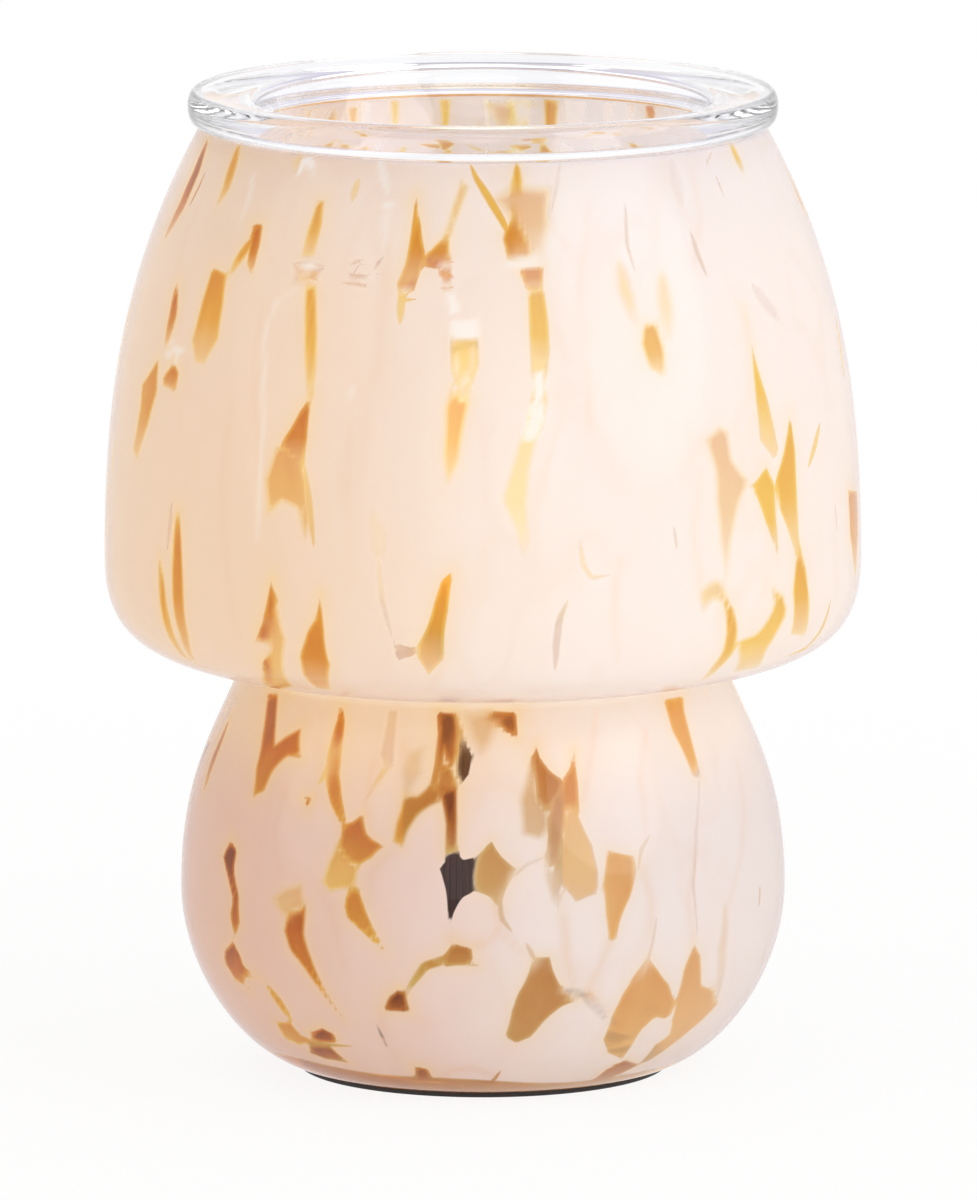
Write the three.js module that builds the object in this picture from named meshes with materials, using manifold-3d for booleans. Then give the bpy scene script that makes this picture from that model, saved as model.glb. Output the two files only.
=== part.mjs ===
// Electric wax warmer in the shape of a mushroom. A blown glass body holds a small lamp on a
// column, and a clear glass dish rests on its open mouth, over the lamp.
// Millimetres, +Z up. The table is z = 0, the glass turns about x = y = 0, the front looks to -Y.
import * as THREE from 'three';
import * as BufferGeometryUtils from 'three/addons/utils/BufferGeometryUtils.js';
import Module from 'manifold-3d';

// Clearance where one piece rests on, or passes through, another
const clearance = 0.3;

// Foot pad
const padRadius = 31;
const padThickness = 1;

// Glass body: a round lower bulb, a sharp waist and a bell-shaped cap
const glassWall = 3;
const bellyRadius = 49.3;
const bellyRise = 29; // from the foot to the widest line of the lower bulb
const waistRadius = 39.7;
const waistRise = 36; // from that line to the waist
const capRadius = 61.6;
const capUnderRise = 18; // from the waist to the widest line of the cap
const capRise = 70.7; // from that line to the edge of the mouth
const mouthRadius = 46.7;
const waistFillet = 1.2;
const footAngle = 16; // degrees, how steeply the glass leaves the foot
const shoulderAngle = 24; // degrees off upright, just under the waist
const capUnderAngle = 5; // degrees, the slope of the cap's underside
const mouthAngle = 28; // degrees off upright, at the mouth

// How far each sweep of the blown outline keeps its first and last direction, as a share of the
// sweep's own width or height
const footReach = [0.52, 0.46];
const shoulderReach = [0.46, 0.35];
const waistReach = [0.7, 0.7];
const capUnderReach = [0.62, 0.72];
const capReach = [0.358, 0.366];
const roundReach = 0.55; // the same for a plain quarter round

// Pushed-up floor of the glass body, over the plate and nut that clamp it
const recessHeadroom = 0.7; // from the pipe's end to the foot pad
const recessPlay = 1.5; // round the base plate
const recessSlope = 7;

// Clear dish on the mouth
const dishOverhang = 1.2; // of the dish's rim beyond the mouth
const dishPlay = 3.9; // between the bowl and the inside of the mouth
const dishRimThickness = 6.2;
const dishHeight = 29.2;
const dishWall = 3;
const dishFloorRadius = 30.5;
const dishFloorFillet = 6;
const dishNeckFillet = 3;
const dishWallAngle = 80; // degrees from level, at the bowl's foot

// Lamp: a clear globe on a small screw cap
const lampGap = 14; // from the globe's top to the dish
const lampLength = 75;
const globeRadius = 24.2;
const lampWall = 0.8;
const lampNeckRadius = 6.6;
const lampNeckRise = 5; // straight glass above the screw cap
const globeBlendAngle = 50; // degrees below the globe's widest line
const lampThreadRadius = 5.9;
const lampThreadDepth = 0.7;
const lampThreadHeight = 11.43;
const lampThreadTurns = 4.5;
const lampCollarWall = 0.6;
const lampCollarHeight = 2.6;
const lampTipRadius = 1.9;
const lampTipHeight = 1.2;
const insulatorHeight = 2.1;
const stemRadius = 1.5;
const filamentCageRadius = 8;
const filamentHeight = 24;
const filamentLift = 4; // of its middle over the globe's widest line
const filamentRadius = 0.35;
const filamentLegs = 6;
const filamentSweep = 300; // degrees round the stem from the first end to the last
const lampWireRadius = 0.3;

// Column with the lamp holder in it
const columnRadius = 13;
const columnWall = 1.8;
const columnFootRadius = 17;
const columnFootThickness = 1.2;
const columnBossHeight = 1.5;
const holderDepth = 17; // from the column's top edge down to the lamp's tip
const holderRimDrop = 1.5;
const shellPlay = 0.4; // between the lamp's thread and the shell
const shellWall = 0.5;
const shellHeight = 11;
const contactTravel = 2.2;
const contactWidth = 3;
const contactThickness = 0.4;
const terminalHeadRadius = 2;
const terminalHeadHeight = 1.9;
const terminalShankRadius = 1.2;
const terminalShankLength = 3;

// Pipe and the plates, nuts and soft rings that it clamps
const pipeRadius = 5;
const pipeWall = 1.2;
const nutAcrossFlats = 14;
const upperNutHeight = 3;
const lowerNutHeight = 2;
const basePlateRadius = 15.5;
const basePlateThickness = 1.2;
const gasketThickness = 0.8;
const gasketInset = 0.7; // from the base plate's edge
const pipeCapHeight = 6;
const pipeCapFlange = 1.6;

// Leads inside the column, and the bush in the rear wall
const leadRadius = 0.9;
const leadSpacing = 2.6;
const leadOuterGap = 0.7; // from the leads to the sleeve
const leadInnerGap = 0.5; // from the leads to the lamp holder
const notchWidth = 7;
const notchPlay = 1.2; // over the leads
const grommetBoreRadius = 3.1;
const grommetShankRadius = 4.7;
const grommetFlangeRadius = 6.5;
const grommetFlangeThickness = 1.5;

// Facets
const glassSides = 48;
const lampSides = 32;
const smallSides = 24;
const wireSides = 6;
const leadSides = 8;

// Places that follow from the sizes
const degrees = Math.PI / 180;
const footZ = padThickness;
const bellyZ = footZ + bellyRise;
const waistZ = bellyZ + waistRise;
const capZ = waistZ + capUnderRise;
const mouthZ = capZ + capRise;
const recessDepth = gasketThickness + basePlateThickness + lowerNutHeight + clearance + recessHeadroom;
const recessRadius = basePlateRadius + recessPlay;
const gasketRadius = basePlateRadius - gasketInset;
const floorUnderZ = footZ + recessDepth;
const floorTopZ = floorUnderZ + glassWall;
const mouthInnerRadius = mouthRadius - glassWall;
const dishRimRadius = mouthRadius + dishOverhang;
const dishOpeningRadius = mouthInnerRadius - dishPlay - dishWall;
const dishSeatZ = mouthZ + clearance;
const dishTopZ = dishSeatZ + dishRimThickness;
const dishUnderZ = dishTopZ - dishHeight;
const lampTopZ = dishUnderZ - lampGap;
const lampTipZ = lampTopZ - lampLength;
const globeZ = lampTopZ - globeRadius;
const columnTopZ = lampTipZ + holderDepth;
const columnFootZ = floorTopZ + gasketThickness;
const columnSeatZ = columnFootZ + columnFootThickness;
const holderFloorZ = lampTipZ - contactTravel;
const holderBottomZ = holderFloorZ - 2 * terminalHeadRadius;
const pipeTopZ = holderBottomZ - clearance;
const pipeHoleRadius = pipeRadius + clearance;
const basePlateZ = floorUnderZ - gasketThickness - basePlateThickness;
const screwCapZ = lampTipZ + lampTipHeight + insulatorHeight + 2 * clearance;
const collarZ = screwCapZ + lampThreadHeight;
const shellRadius = lampThreadRadius + shellPlay + shellWall;
const lampCollarRadius = lampNeckRadius + clearance + lampCollarWall;
const upperNutZ = columnSeatZ + columnBossHeight;
const leadStartZ = upperNutZ + upperNutHeight + clearance + leadRadius;
const lampNeckZ = collarZ + clearance;
const terminalZ = (holderBottomZ + holderFloorZ) / 2;
const columnInnerRadius = columnRadius - columnWall;
const leadOrbit = columnInnerRadius - leadOuterGap - leadRadius;
const holderNarrowRadius = leadOrbit - leadRadius - leadInnerGap;
const filamentLowZ = globeZ + filamentLift - filamentHeight / 2;
const filamentHighZ = filamentLowZ + filamentHeight;
const stemShoulderZ = (lampNeckZ + filamentLowZ) / 2;

// Library for cutting and joining solids
const wasm = await Module();
wasm.setup();

function point(r, z) {
  return new THREE.Vector2(r, z);
}

// Keeps only the corners of a shape, merged, and drops the flat slivers that a pole leaves
function weld(geometry) {
  const bare = geometry.clone();
  bare.deleteAttribute('normal');
  bare.deleteAttribute('uv');
  const merged = BufferGeometryUtils.mergeVertices(bare, 1e-4);
  const kept = [];
  const index = merged.index.array;
  for (let i = 0; i < index.length; i += 3) {
    const [a, b, c] = [index[i], index[i + 1], index[i + 2]];
    if (a !== b && b !== c && c !== a) kept.push(a, b, c);
  }
  merged.setIndex(kept);
  return merged;
}

function toSolid(geometry) {
  const welded = weld(geometry);
  const vertProperties = new Float32Array(welded.attributes.position.array);
  const triVerts = new Uint32Array(welded.index.array);
  return new wasm.Manifold(new wasm.Mesh({ numProp: 3, vertProperties, triVerts }));
}

function fromSolid(solid) {
  const result = solid.getMesh();
  const geometry = new THREE.BufferGeometry();
  geometry.setAttribute('position', new THREE.BufferAttribute(result.vertProperties, 3));
  geometry.setIndex(new THREE.BufferAttribute(result.triVerts, 1));
  return geometry;
}

// Turns a profile of radius and height about the upright axis
function turned(profile, sides) {
  const geometry = new THREE.LatheGeometry(profile, sides);
  geometry.rotateX(Math.PI / 2);
  return weld(geometry);
}

// Closed ring profile with square corners
function ringProfile(inner, outer, low, high) {
  return [
    point(inner, low),
    point(outer, low),
    point(outer, high),
    point(inner, high),
    point(inner, low),
  ];
}

function ring(inner, outer, low, high, sides = smallSides) {
  return turned(ringProfile(inner, outer, low, high), sides);
}

function hexNut(low, height) {
  const corner = nutAcrossFlats / 2 / Math.cos(Math.PI / 6);
  const outline = new THREE.Shape();
  for (let side = 0; side < 6; side += 1) {
    const angle = side * Math.PI / 3;
    const x = corner * Math.cos(angle);
    const y = corner * Math.sin(angle);
    if (side === 0) outline.moveTo(x, y);
    else outline.lineTo(x, y);
  }
  outline.closePath();
  const hole = new THREE.Path();
  hole.absarc(0, 0, pipeHoleRadius, 0, 2 * Math.PI, true);
  outline.holes.push(hole);
  const geometry = new THREE.ExtrudeGeometry(outline, {
    depth: height,
    bevelEnabled: false,
    curveSegments: smallSides / 2,
  });
  geometry.translate(0, 0, low);
  return weld(geometry);
}

// Round wire along a smooth curve
function wire(points, radius, sides, steps, tension = 0.5) {
  const route = new THREE.CatmullRomCurve3(points, false, 'catmullrom', tension);
  const section = new THREE.Shape();
  section.absarc(0, 0, radius, 0, 2 * Math.PI, false);
  const geometry = new THREE.ExtrudeGeometry(section, {
    steps,
    curveSegments: sides / 2,
    extrudePath: route,
  });
  return weld(geometry);
}

function heading(angleFromLevel) {
  return point(Math.cos(angleFromLevel * degrees), Math.sin(angleFromLevel * degrees));
}

// Smooth curve between two points, leaving and arriving in given directions
function blend(start, startHeading, startReach, end, endHeading, endReach) {
  const first = start.clone().addScaledVector(startHeading, startReach);
  const second = end.clone().addScaledVector(endHeading, -endReach);
  return new THREE.CubicBezierCurve(start, first, second, end);
}

// The sweeps of the blown outline, from the foot up to the mouth
function bodySweeps() {
  const up = heading(90);
  const foot = point(padRadius, footZ);
  const belly = point(bellyRadius, bellyZ);
  const underWaist = point(waistRadius, waistZ - waistFillet);
  const overWaist = point(waistRadius + waistFillet, waistZ);
  const cap = point(capRadius, capZ);
  const mouth = point(mouthRadius, mouthZ - glassWall / 2);
  const shoulder = heading(90 + shoulderAngle);
  const underCap = heading(capUnderAngle);
  const bellyWidth = bellyRadius - padRadius;
  const capWidth = capRadius - waistRadius;
  return [
    blend(foot, heading(footAngle), bellyWidth * footReach[0], belly, up, bellyRise * footReach[1]),
    blend(
      belly, up, waistRise * shoulderReach[0],
      underWaist, shoulder, waistRise * shoulderReach[1],
    ),
    blend(
      underWaist, shoulder, waistFillet * waistReach[0],
      overWaist, underCap, waistFillet * waistReach[1],
    ),
    blend(
      overWaist, underCap, capWidth * capUnderReach[0],
      cap, up, capUnderRise * capUnderReach[1],
    ),
    blend(cap, up, capRise * capReach[0], mouth, heading(90 + mouthAngle), capRise * capReach[1]),
  ];
}

// Points along the sweeps, moved inwards by the offset
function sweepPoints(offset, counts) {
  const points = [];
  bodySweeps().forEach((sweep, index) => {
    const count = counts[index];
    for (let step = index === 0 ? 0 : 1; step <= count; step += 1) {
      const place = sweep.getPoint(step / count);
      const along = sweep.getTangent(step / count);
      points.push(point(place.x - along.y * offset, place.y + along.x * offset));
    }
  });
  return points;
}

const bodyOutside = sweepPoints(0, [5, 5, 2, 6, 7]);
const bodyInside = sweepPoints(glassWall, [4, 3, 3, 4, 4]);

// Radius of an outline at a height on the lower bulb
function radiusAt(outline, height) {
  const above = outline.findIndex((p) => p.y >= height);
  const [low, high] = [outline[above - 1], outline[above]];
  return low.x + (high.x - low.x) * (height - low.y) / (high.y - low.y);
}

// Floor step of the glass body: flat by the hole, then down to the foot ring
function floorStep(radius, top, bottom, count) {
  const half = recessSlope / 2;
  const level = heading(0);
  const start = point(radius, top);
  const end = point(radius + recessSlope, bottom);
  return blend(start, level, half, end, level, half).getPoints(count);
}

function glassBody() {
  const holeRadius = pipeHoleRadius + clearance;
  const rimOuter = bodyOutside[bodyOutside.length - 1];
  const rimInner = bodyInside[bodyInside.length - 1];
  const middle = (rimOuter.x + rimInner.x) / 2;
  const flat = glassWall / 6;
  const rim = [
    point(rimOuter.x - glassWall * 0.1, mouthZ - glassWall * 0.2),
    point(middle + flat, mouthZ),
    point(middle - flat, mouthZ),
    point(rimInner.x + glassWall * 0.08, mouthZ - glassWall * 0.25),
  ];
  const under = floorStep(recessRadius, floorUnderZ, footZ, 3);
  const over = floorStep(recessRadius + glassWall * 0.7, floorTopZ, footZ + glassWall, 3).reverse();
  const profile = [
    point(holeRadius, floorUnderZ),
    ...under,
    ...bodyOutside,
    ...rim,
    ...bodyInside.slice().reverse(),
    ...over,
    point(holeRadius, floorTopZ),
    point(holeRadius, floorUnderZ),
  ];
  const blown = toSolid(turned(profile, glassSides));
  const drill = new THREE.CylinderGeometry(
    grommetShankRadius + clearance,
    grommetShankRadius + clearance,
    bellyRadius,
    smallSides,
  );
  drill.translate(0, bellyRadius, 0);
  drill.translate(0, 0, bellyZ);
  return fromSolid(blown.subtract(toSolid(drill)));
}

function waxDish() {
  const level = heading(0);
  const up = heading(90);
  const bowlRadius = dishOpeningRadius + dishWall;
  const roll = dishRimThickness / 2;
  const lip = dishWall * 0.6;
  const outerWall = dishFloorRadius + dishFloorFillet;
  const innerFloor = dishFloorRadius - dishWall;
  const profile = [
    point(0, dishUnderZ),
    point(dishFloorRadius * 0.5, dishUnderZ),
    ...blend(
      point(dishFloorRadius, dishUnderZ), level, dishFloorFillet * roundReach,
      point(outerWall, dishUnderZ + dishFloorFillet), heading(dishWallAngle),
      dishFloorFillet * roundReach,
    ).getPoints(4),
    ...blend(
      point(bowlRadius, dishSeatZ - dishNeckFillet), up, dishNeckFillet * roundReach,
      point(bowlRadius + dishNeckFillet, dishSeatZ), level, dishNeckFillet * roundReach,
    ).getPoints(3),
    ...blend(
      point(dishRimRadius - roll, dishSeatZ), level, roll * roundReach,
      point(dishRimRadius, dishSeatZ + roll), up, roll * roundReach,
    ).getPoints(4),
    ...blend(
      point(dishRimRadius, dishSeatZ + roll), up, roll * roundReach,
      point(dishRimRadius - roll, dishTopZ), heading(180), roll * roundReach,
    ).getPoints(4).slice(1),
    ...blend(
      point(dishOpeningRadius + lip, dishTopZ), heading(180), lip * roundReach,
      point(dishOpeningRadius, dishTopZ - lip), heading(270), lip * roundReach,
    ).getPoints(3),
    ...blend(
      point(outerWall - dishWall, dishUnderZ + dishWall + dishFloorFillet),
      heading(180 + dishWallAngle), dishFloorFillet * roundReach,
      point(innerFloor, dishUnderZ + dishWall), heading(180), dishFloorFillet * roundReach,
    ).getPoints(4),
    point(0, dishUnderZ + dishWall),
  ];
  return turned(profile, glassSides);
}

// Outline of the lamp glass from the neck's lower edge to the pole, moved inwards by the inset
function lampOutline(inset, arcSteps) {
  const radius = globeRadius - inset;
  const neck = lampNeckRadius - inset;
  const blendAngle = -globeBlendAngle * degrees;
  const joint = point(radius * Math.cos(blendAngle), globeZ + radius * Math.sin(blendAngle));
  const straightTop = point(neck, lampNeckZ + lampNeckRise);
  const rise = joint.y - straightTop.y;
  const flare = blend(
    straightTop, heading(90), rise * 0.4,
    joint, heading(90 - globeBlendAngle), rise * 0.5,
  );
  const points = [point(neck, lampNeckZ), ...flare.getPoints(4)];
  for (let step = 1; step <= arcSteps; step += 1) {
    const angle = blendAngle + (Math.PI / 2 - blendAngle) * step / arcSteps;
    const onAxis = step === arcSteps;
    points.push(point(onAxis ? 0 : radius * Math.cos(angle), globeZ + radius * Math.sin(angle)));
  }
  return points;
}

function lampEnvelope() {
  const inside = lampOutline(lampWall, 5).reverse();
  return turned([...inside, ...lampOutline(0, 7)], lampSides);
}

function lampScrewCap() {
  const core = lampThreadRadius - lampThreadDepth;
  const inner = core - shellWall;
  const bore = inner - clearance;
  const halfPitch = lampThreadHeight / lampThreadTurns / 2;
  const threads = [];
  for (let half = 0; half < lampThreadTurns * 2; half += 1) {
    const radius = half % 2 === 0 ? core : lampThreadRadius;
    threads.push(point(radius, screwCapZ + halfPitch * (half + 0.5)));
  }
  const collarInner = lampNeckRadius + clearance;
  const profile = [
    point(bore, screwCapZ),
    ...threads,
    point(lampCollarRadius, collarZ),
    point(lampCollarRadius, collarZ + lampCollarHeight),
    point(collarInner, collarZ + lampCollarHeight),
    point(collarInner, collarZ),
    point(inner, collarZ - shellWall),
    point(inner, screwCapZ + shellWall),
    point(bore, screwCapZ + shellWall),
    point(bore, screwCapZ),
  ];
  return turned(profile, smallSides);
}

function lampInsulator() {
  const low = lampTipZ + lampTipHeight + clearance;
  const profile = [
    point(0, low),
    point(lampTipRadius + clearance, low),
    point(lampThreadRadius - lampThreadDepth - 2 * clearance, low + insulatorHeight),
    point(0, low + insulatorHeight),
  ];
  return turned(profile, smallSides);
}

function lampTipContact() {
  const profile = [
    point(0, lampTipZ),
    point(lampTipRadius * 0.6, lampTipZ + lampTipHeight * 0.15),
    point(lampTipRadius, lampTipZ + lampTipHeight * 0.6),
    point(lampTipRadius, lampTipZ + lampTipHeight),
    point(0, lampTipZ + lampTipHeight),
  ];
  return turned(profile, smallSides);
}

// Glass mount in the lamp: a flare in the neck and a thin rod up through the filament cage
function lampStem() {
  const flareRadius = lampNeckRadius - lampWall - clearance;
  const flareZ = lampNeckZ + lampNeckRise / 2;
  const profile = [
    point(0, flareZ),
    point(flareRadius, flareZ),
    point(flareRadius, flareZ + lampWall),
    point(stemRadius * 1.6, (flareZ + stemShoulderZ) / 2),
    point(stemRadius, stemShoulderZ),
    point(stemRadius, filamentHighZ - stemRadius),
    point(stemRadius * 1.5, filamentHighZ),
    point(stemRadius, filamentHighZ + stemRadius),
    point(0, filamentHighZ + stemRadius * 1.3),
  ];
  return turned(profile, smallSides);
}

// Corner of the filament's zigzag: even corners are low, odd ones high
function filamentCorner(index) {
  const angle = (-90 + (index / filamentLegs - 0.5) * filamentSweep) * degrees;
  return new THREE.Vector3(
    filamentCageRadius * Math.cos(angle),
    filamentCageRadius * Math.sin(angle),
    index % 2 === 0 ? filamentLowZ : filamentHighZ,
  );
}

function filament() {
  const corners = [];
  for (let index = 0; index <= filamentLegs; index += 1) {
    corners.push(filamentCorner(index));
  }
  return wire(corners, filamentRadius, wireSides, filamentLegs * 10, 0.05);
}

// Wire that carries one end of the filament, from beside the stem's foot
function leadInWire(cornerIndex) {
  const end = filamentCorner(cornerIndex);
  const gap = filamentRadius + lampWireRadius + clearance;
  const side = Math.sign(end.x);
  const beside = side * (stemRadius + lampWireRadius + clearance);
  const wireFootZ = stemShoulderZ + clearance;
  return wire([
    new THREE.Vector3(beside, 0, wireFootZ),
    new THREE.Vector3(beside, 0, (wireFootZ + end.z) / 2),
    new THREE.Vector3(end.x, end.y, end.z - gap),
  ], lampWireRadius, wireSides, 8);
}

// Hub round the stem with one arm to each held corner of the filament: the odd corners are high,
// the even ones low, and the two ends are held by the lead-in wires
function filamentSupport(firstCorner, level) {
  const hubRadius = stemRadius + clearance;
  const hub = ring(
    hubRadius, hubRadius + lampWireRadius * 2, level - lampWireRadius, level + lampWireRadius,
  );
  let solid = toSolid(hub);
  for (let index = firstCorner; index < filamentLegs; index += 2) {
    const corner = filamentCorner(index);
    const length = filamentCageRadius - filamentRadius - clearance - hubRadius - lampWireRadius;
    const arm = new THREE.CylinderGeometry(
      lampWireRadius * 0.8, lampWireRadius * 0.8, length, wireSides,
    );
    arm.rotateZ(-Math.PI / 2);
    arm.translate(hubRadius + lampWireRadius + length / 2, 0, 0);
    arm.rotateZ(Math.atan2(corner.y, corner.x));
    arm.translate(0, 0, level);
    solid = solid.add(toSolid(arm));
  }
  return fromSolid(solid);
}

// Sleeve with a notch at its rear foot, where the leads go in
function socketColumn() {
  const sleeve = toSolid(ring(columnInnerRadius, columnRadius, columnSeatZ, columnTopZ, lampSides));
  const notchHeight = leadStartZ + leadRadius + notchPlay - columnSeatZ;
  const notch = new THREE.BoxGeometry(notchWidth, columnRadius, notchHeight * 2);
  notch.translate(0, columnRadius, columnSeatZ);
  return fromSolid(sleeve.subtract(toSolid(notch)));
}

function columnFoot() {
  const bossRadius = columnInnerRadius - clearance;
  const bossTop = columnSeatZ + columnBossHeight;
  return turned([
    point(pipeHoleRadius, columnFootZ),
    point(columnFootRadius, columnFootZ),
    point(columnFootRadius, columnSeatZ),
    point(bossRadius, columnSeatZ),
    point(bossRadius, bossTop),
    point(pipeHoleRadius, bossTop),
    point(pipeHoleRadius, columnFootZ),
  ], lampSides);
}

// Insulating lamp holder: a narrow base with the terminals, and a wide cup round the shell
function socketBody() {
  const cupRadius = columnInnerRadius - clearance;
  const boreRadius = Math.max(lampCollarRadius + clearance, shellRadius) + clearance;
  const topZ = columnTopZ - holderRimDrop;
  const cup = toSolid(turned([
    point(0, holderBottomZ),
    point(holderNarrowRadius, holderBottomZ),
    point(holderNarrowRadius, holderFloorZ),
    point(cupRadius, holderFloorZ + cupRadius - holderNarrowRadius),
    point(cupRadius, topZ),
    point(boreRadius, topZ),
    point(boreRadius, holderFloorZ + 2 * clearance),
    point(shellRadius + clearance, holderFloorZ),
    point(0, holderFloorZ),
  ], lampSides));
  const holes = [-1, 1].map((side) => {
    const length = terminalShankLength + clearance;
    const hole = new THREE.CylinderGeometry(
      terminalShankRadius + clearance, terminalShankRadius + clearance, 2 * length, smallSides / 2,
    );
    hole.rotateZ(Math.PI / 2);
    hole.translate(side * holderNarrowRadius, 0, terminalZ);
    return toSolid(hole);
  });
  return fromSolid(cup.subtract(holes[0]).subtract(holes[1]));
}

function screwShell() {
  return turned([
    point(shellRadius - 3 * shellWall, holderFloorZ),
    point(shellRadius, holderFloorZ),
    point(shellRadius, holderFloorZ + shellHeight),
    point(shellRadius - shellWall, holderFloorZ + shellHeight),
    point(shellRadius - shellWall, holderFloorZ + shellWall),
    point(shellRadius - 3 * shellWall, holderFloorZ + shellWall),
    point(shellRadius - 3 * shellWall, holderFloorZ),
  ], smallSides);
}

// Spring tongue under the lamp: a flat foot on the holder's floor, folded back up to the tip
function centreContact() {
  const reach = shellRadius - 3 * shellWall - clearance - contactThickness;
  const rise = contactTravel - clearance;
  const outline = new THREE.Shape([
    point(-reach, 0),
    point(reach, 0),
    point(reach, contactThickness * 1.5),
    point(lampTipRadius * 0.5, rise),
    point(-lampTipRadius * 0.5, rise),
    point(-lampTipRadius * 0.5, rise - contactThickness),
    point(lampTipRadius * 0.4, rise - contactThickness),
    point(reach - 2 * contactThickness, contactThickness),
    point(-reach, contactThickness),
  ]);
  const geometry = new THREE.ExtrudeGeometry(outline, {
    depth: contactWidth,
    bevelEnabled: false,
  });
  geometry.translate(0, 0, -contactWidth / 2);
  geometry.rotateX(Math.PI / 2);
  geometry.translate(0, 0, holderFloorZ);
  return weld(geometry);
}

function terminalScrew(side) {
  const headFoot = clearance;
  const screw = turned([
    point(0, -terminalShankLength),
    point(terminalShankRadius, -terminalShankLength),
    point(terminalShankRadius, headFoot),
    point(terminalHeadRadius, headFoot),
    point(terminalHeadRadius, headFoot + terminalHeadHeight * 0.6),
    point(terminalHeadRadius * 0.6, headFoot + terminalHeadHeight),
    point(0, headFoot + terminalHeadHeight),
  ], smallSides / 2);
  screw.rotateY(side * Math.PI / 2);
  screw.translate(side * holderNarrowRadius, 0, terminalZ);
  return screw;
}

// Insulated lead: in through the notch, then a rising quarter turn to its terminal
function lead(side) {
  const endZ = terminalZ - terminalHeadRadius - clearance;
  const startX = side * leadSpacing / 2;
  const turnStart = Math.asin(leadSpacing / 2 / leadOrbit);
  const points = [new THREE.Vector3(startX, columnRadius - columnWall / 2, leadStartZ)];
  const turns = 5;
  for (let step = 0; step <= turns; step += 1) {
    const share = step / turns;
    const angle = turnStart + (Math.PI / 2 - turnStart) * share;
    points.push(new THREE.Vector3(
      side * leadOrbit * Math.sin(angle),
      leadOrbit * Math.cos(angle),
      leadStartZ + leadRadius * 2 + (endZ - leadStartZ - leadRadius * 4) * share,
    ));
  }
  points.push(new THREE.Vector3(side * leadOrbit, 0, endZ));
  return wire(points, leadRadius, leadSides, 20);
}

function threadedPipe() {
  const low = basePlateZ - lowerNutHeight - clearance;
  return ring(pipeRadius - pipeWall, pipeRadius, low, pipeTopZ);
}

// Metal cap on the pipe's end that carries the lamp holder
function socketCap() {
  const top = holderBottomZ;
  const low = top - pipeCapHeight;
  const hubRadius = (pipeHoleRadius + holderNarrowRadius) / 2;
  return turned([
    point(pipeHoleRadius, low),
    point(hubRadius, low),
    point(hubRadius, top - pipeCapFlange),
    point(holderNarrowRadius, top - pipeCapFlange),
    point(holderNarrowRadius, top),
    point(pipeHoleRadius, top),
    point(pipeHoleRadius, low),
  ], smallSides);
}

// Bush through the rear wall on the lower bulb's widest line, where the glass stands upright
function cordGrommet() {
  const [underZ, overZ] = [bellyZ - grommetFlangeRadius, bellyZ + grommetFlangeRadius];
  const outerFaceY = clearance + Math.max(
    bellyRadius,
    radiusAt(bodyOutside, underZ),
    radiusAt(bodyOutside, overZ),
  );
  const wallRadius = Math.cos(Math.PI / glassSides) * Math.min(
    radiusAt(bodyInside, underZ),
    radiusAt(bodyInside, overZ),
  );
  const innerFaceY = Math.sqrt(wallRadius ** 2 - grommetFlangeRadius ** 2) - clearance;
  const geometry = turned([
    point(grommetBoreRadius, innerFaceY - grommetFlangeThickness),
    point(grommetFlangeRadius, innerFaceY - grommetFlangeThickness),
    point(grommetFlangeRadius, innerFaceY),
    point(grommetShankRadius, innerFaceY),
    point(grommetShankRadius, outerFaceY),
    point(grommetFlangeRadius, outerFaceY),
    point(grommetFlangeRadius, outerFaceY + grommetFlangeThickness / 2),
    point(grommetShankRadius, outerFaceY + grommetFlangeThickness),
    point(grommetBoreRadius, outerFaceY + grommetFlangeThickness),
    point(grommetBoreRadius, innerFaceY - grommetFlangeThickness),
  ], smallSides);
  geometry.rotateX(-Math.PI / 2);
  geometry.translate(0, 0, bellyZ);
  return geometry;
}

const finishes = {
  opalGlass: { color: 0xf3dcc6, roughness: 0.08, metalness: 0 },
  clearGlass: { color: 0xf4f7f8, roughness: 0.03, metalness: 0, transparent: true, opacity: 0.35 },
  blackRubber: { color: 0x17151a, roughness: 0.8, metalness: 0 },
  blackPlastic: { color: 0x2a2024, roughness: 0.45, metalness: 0 },
  zinc: { color: 0xb9bbbd, roughness: 0.4, metalness: 1 },
  brass: { color: 0xc9a455, roughness: 0.35, metalness: 1 },
  porcelain: { color: 0xe9e4da, roughness: 0.35, metalness: 0 },
  leadSleeve: { color: 0x3a3a3e, roughness: 0.6, metalness: 0 },
  nickel: { color: 0xcfccc5, roughness: 0.3, metalness: 1 },
  glow: { color: 0xffc46a, roughness: 0.5, metalness: 0 },
};

const warmer = new THREE.Group();

function addPiece(name, geometry, finish) {
  geometry.computeVertexNormals();
  const piece = new THREE.Mesh(geometry, new THREE.MeshStandardMaterial(finishes[finish]));
  piece.name = name;
  warmer.add(piece);
}

const lowerNutZ = basePlateZ - lowerNutHeight;
addPiece('foot_pad', turned([
  point(0, 0),
  point(padRadius, 0),
  point(padRadius, padThickness),
  point(0, padThickness),
], glassSides), 'blackRubber');
addPiece('glass_body', glassBody(), 'opalGlass');
addPiece('wax_dish', waxDish(), 'clearGlass');
addPiece('lock_nut_lower', hexNut(lowerNutZ, lowerNutHeight), 'zinc');
addPiece('base_plate', ring(
  pipeHoleRadius, basePlateRadius, basePlateZ, basePlateZ + basePlateThickness, lampSides,
), 'zinc');
addPiece('base_gasket', ring(
  pipeHoleRadius, gasketRadius, floorUnderZ - gasketThickness, floorUnderZ, lampSides,
), 'blackRubber');
addPiece('floor_gasket', ring(
  pipeHoleRadius, gasketRadius, floorTopZ, columnFootZ, lampSides,
), 'blackRubber');
addPiece('column_foot', columnFoot(), 'blackPlastic');
addPiece('lock_nut_upper', hexNut(upperNutZ, upperNutHeight), 'zinc');
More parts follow.
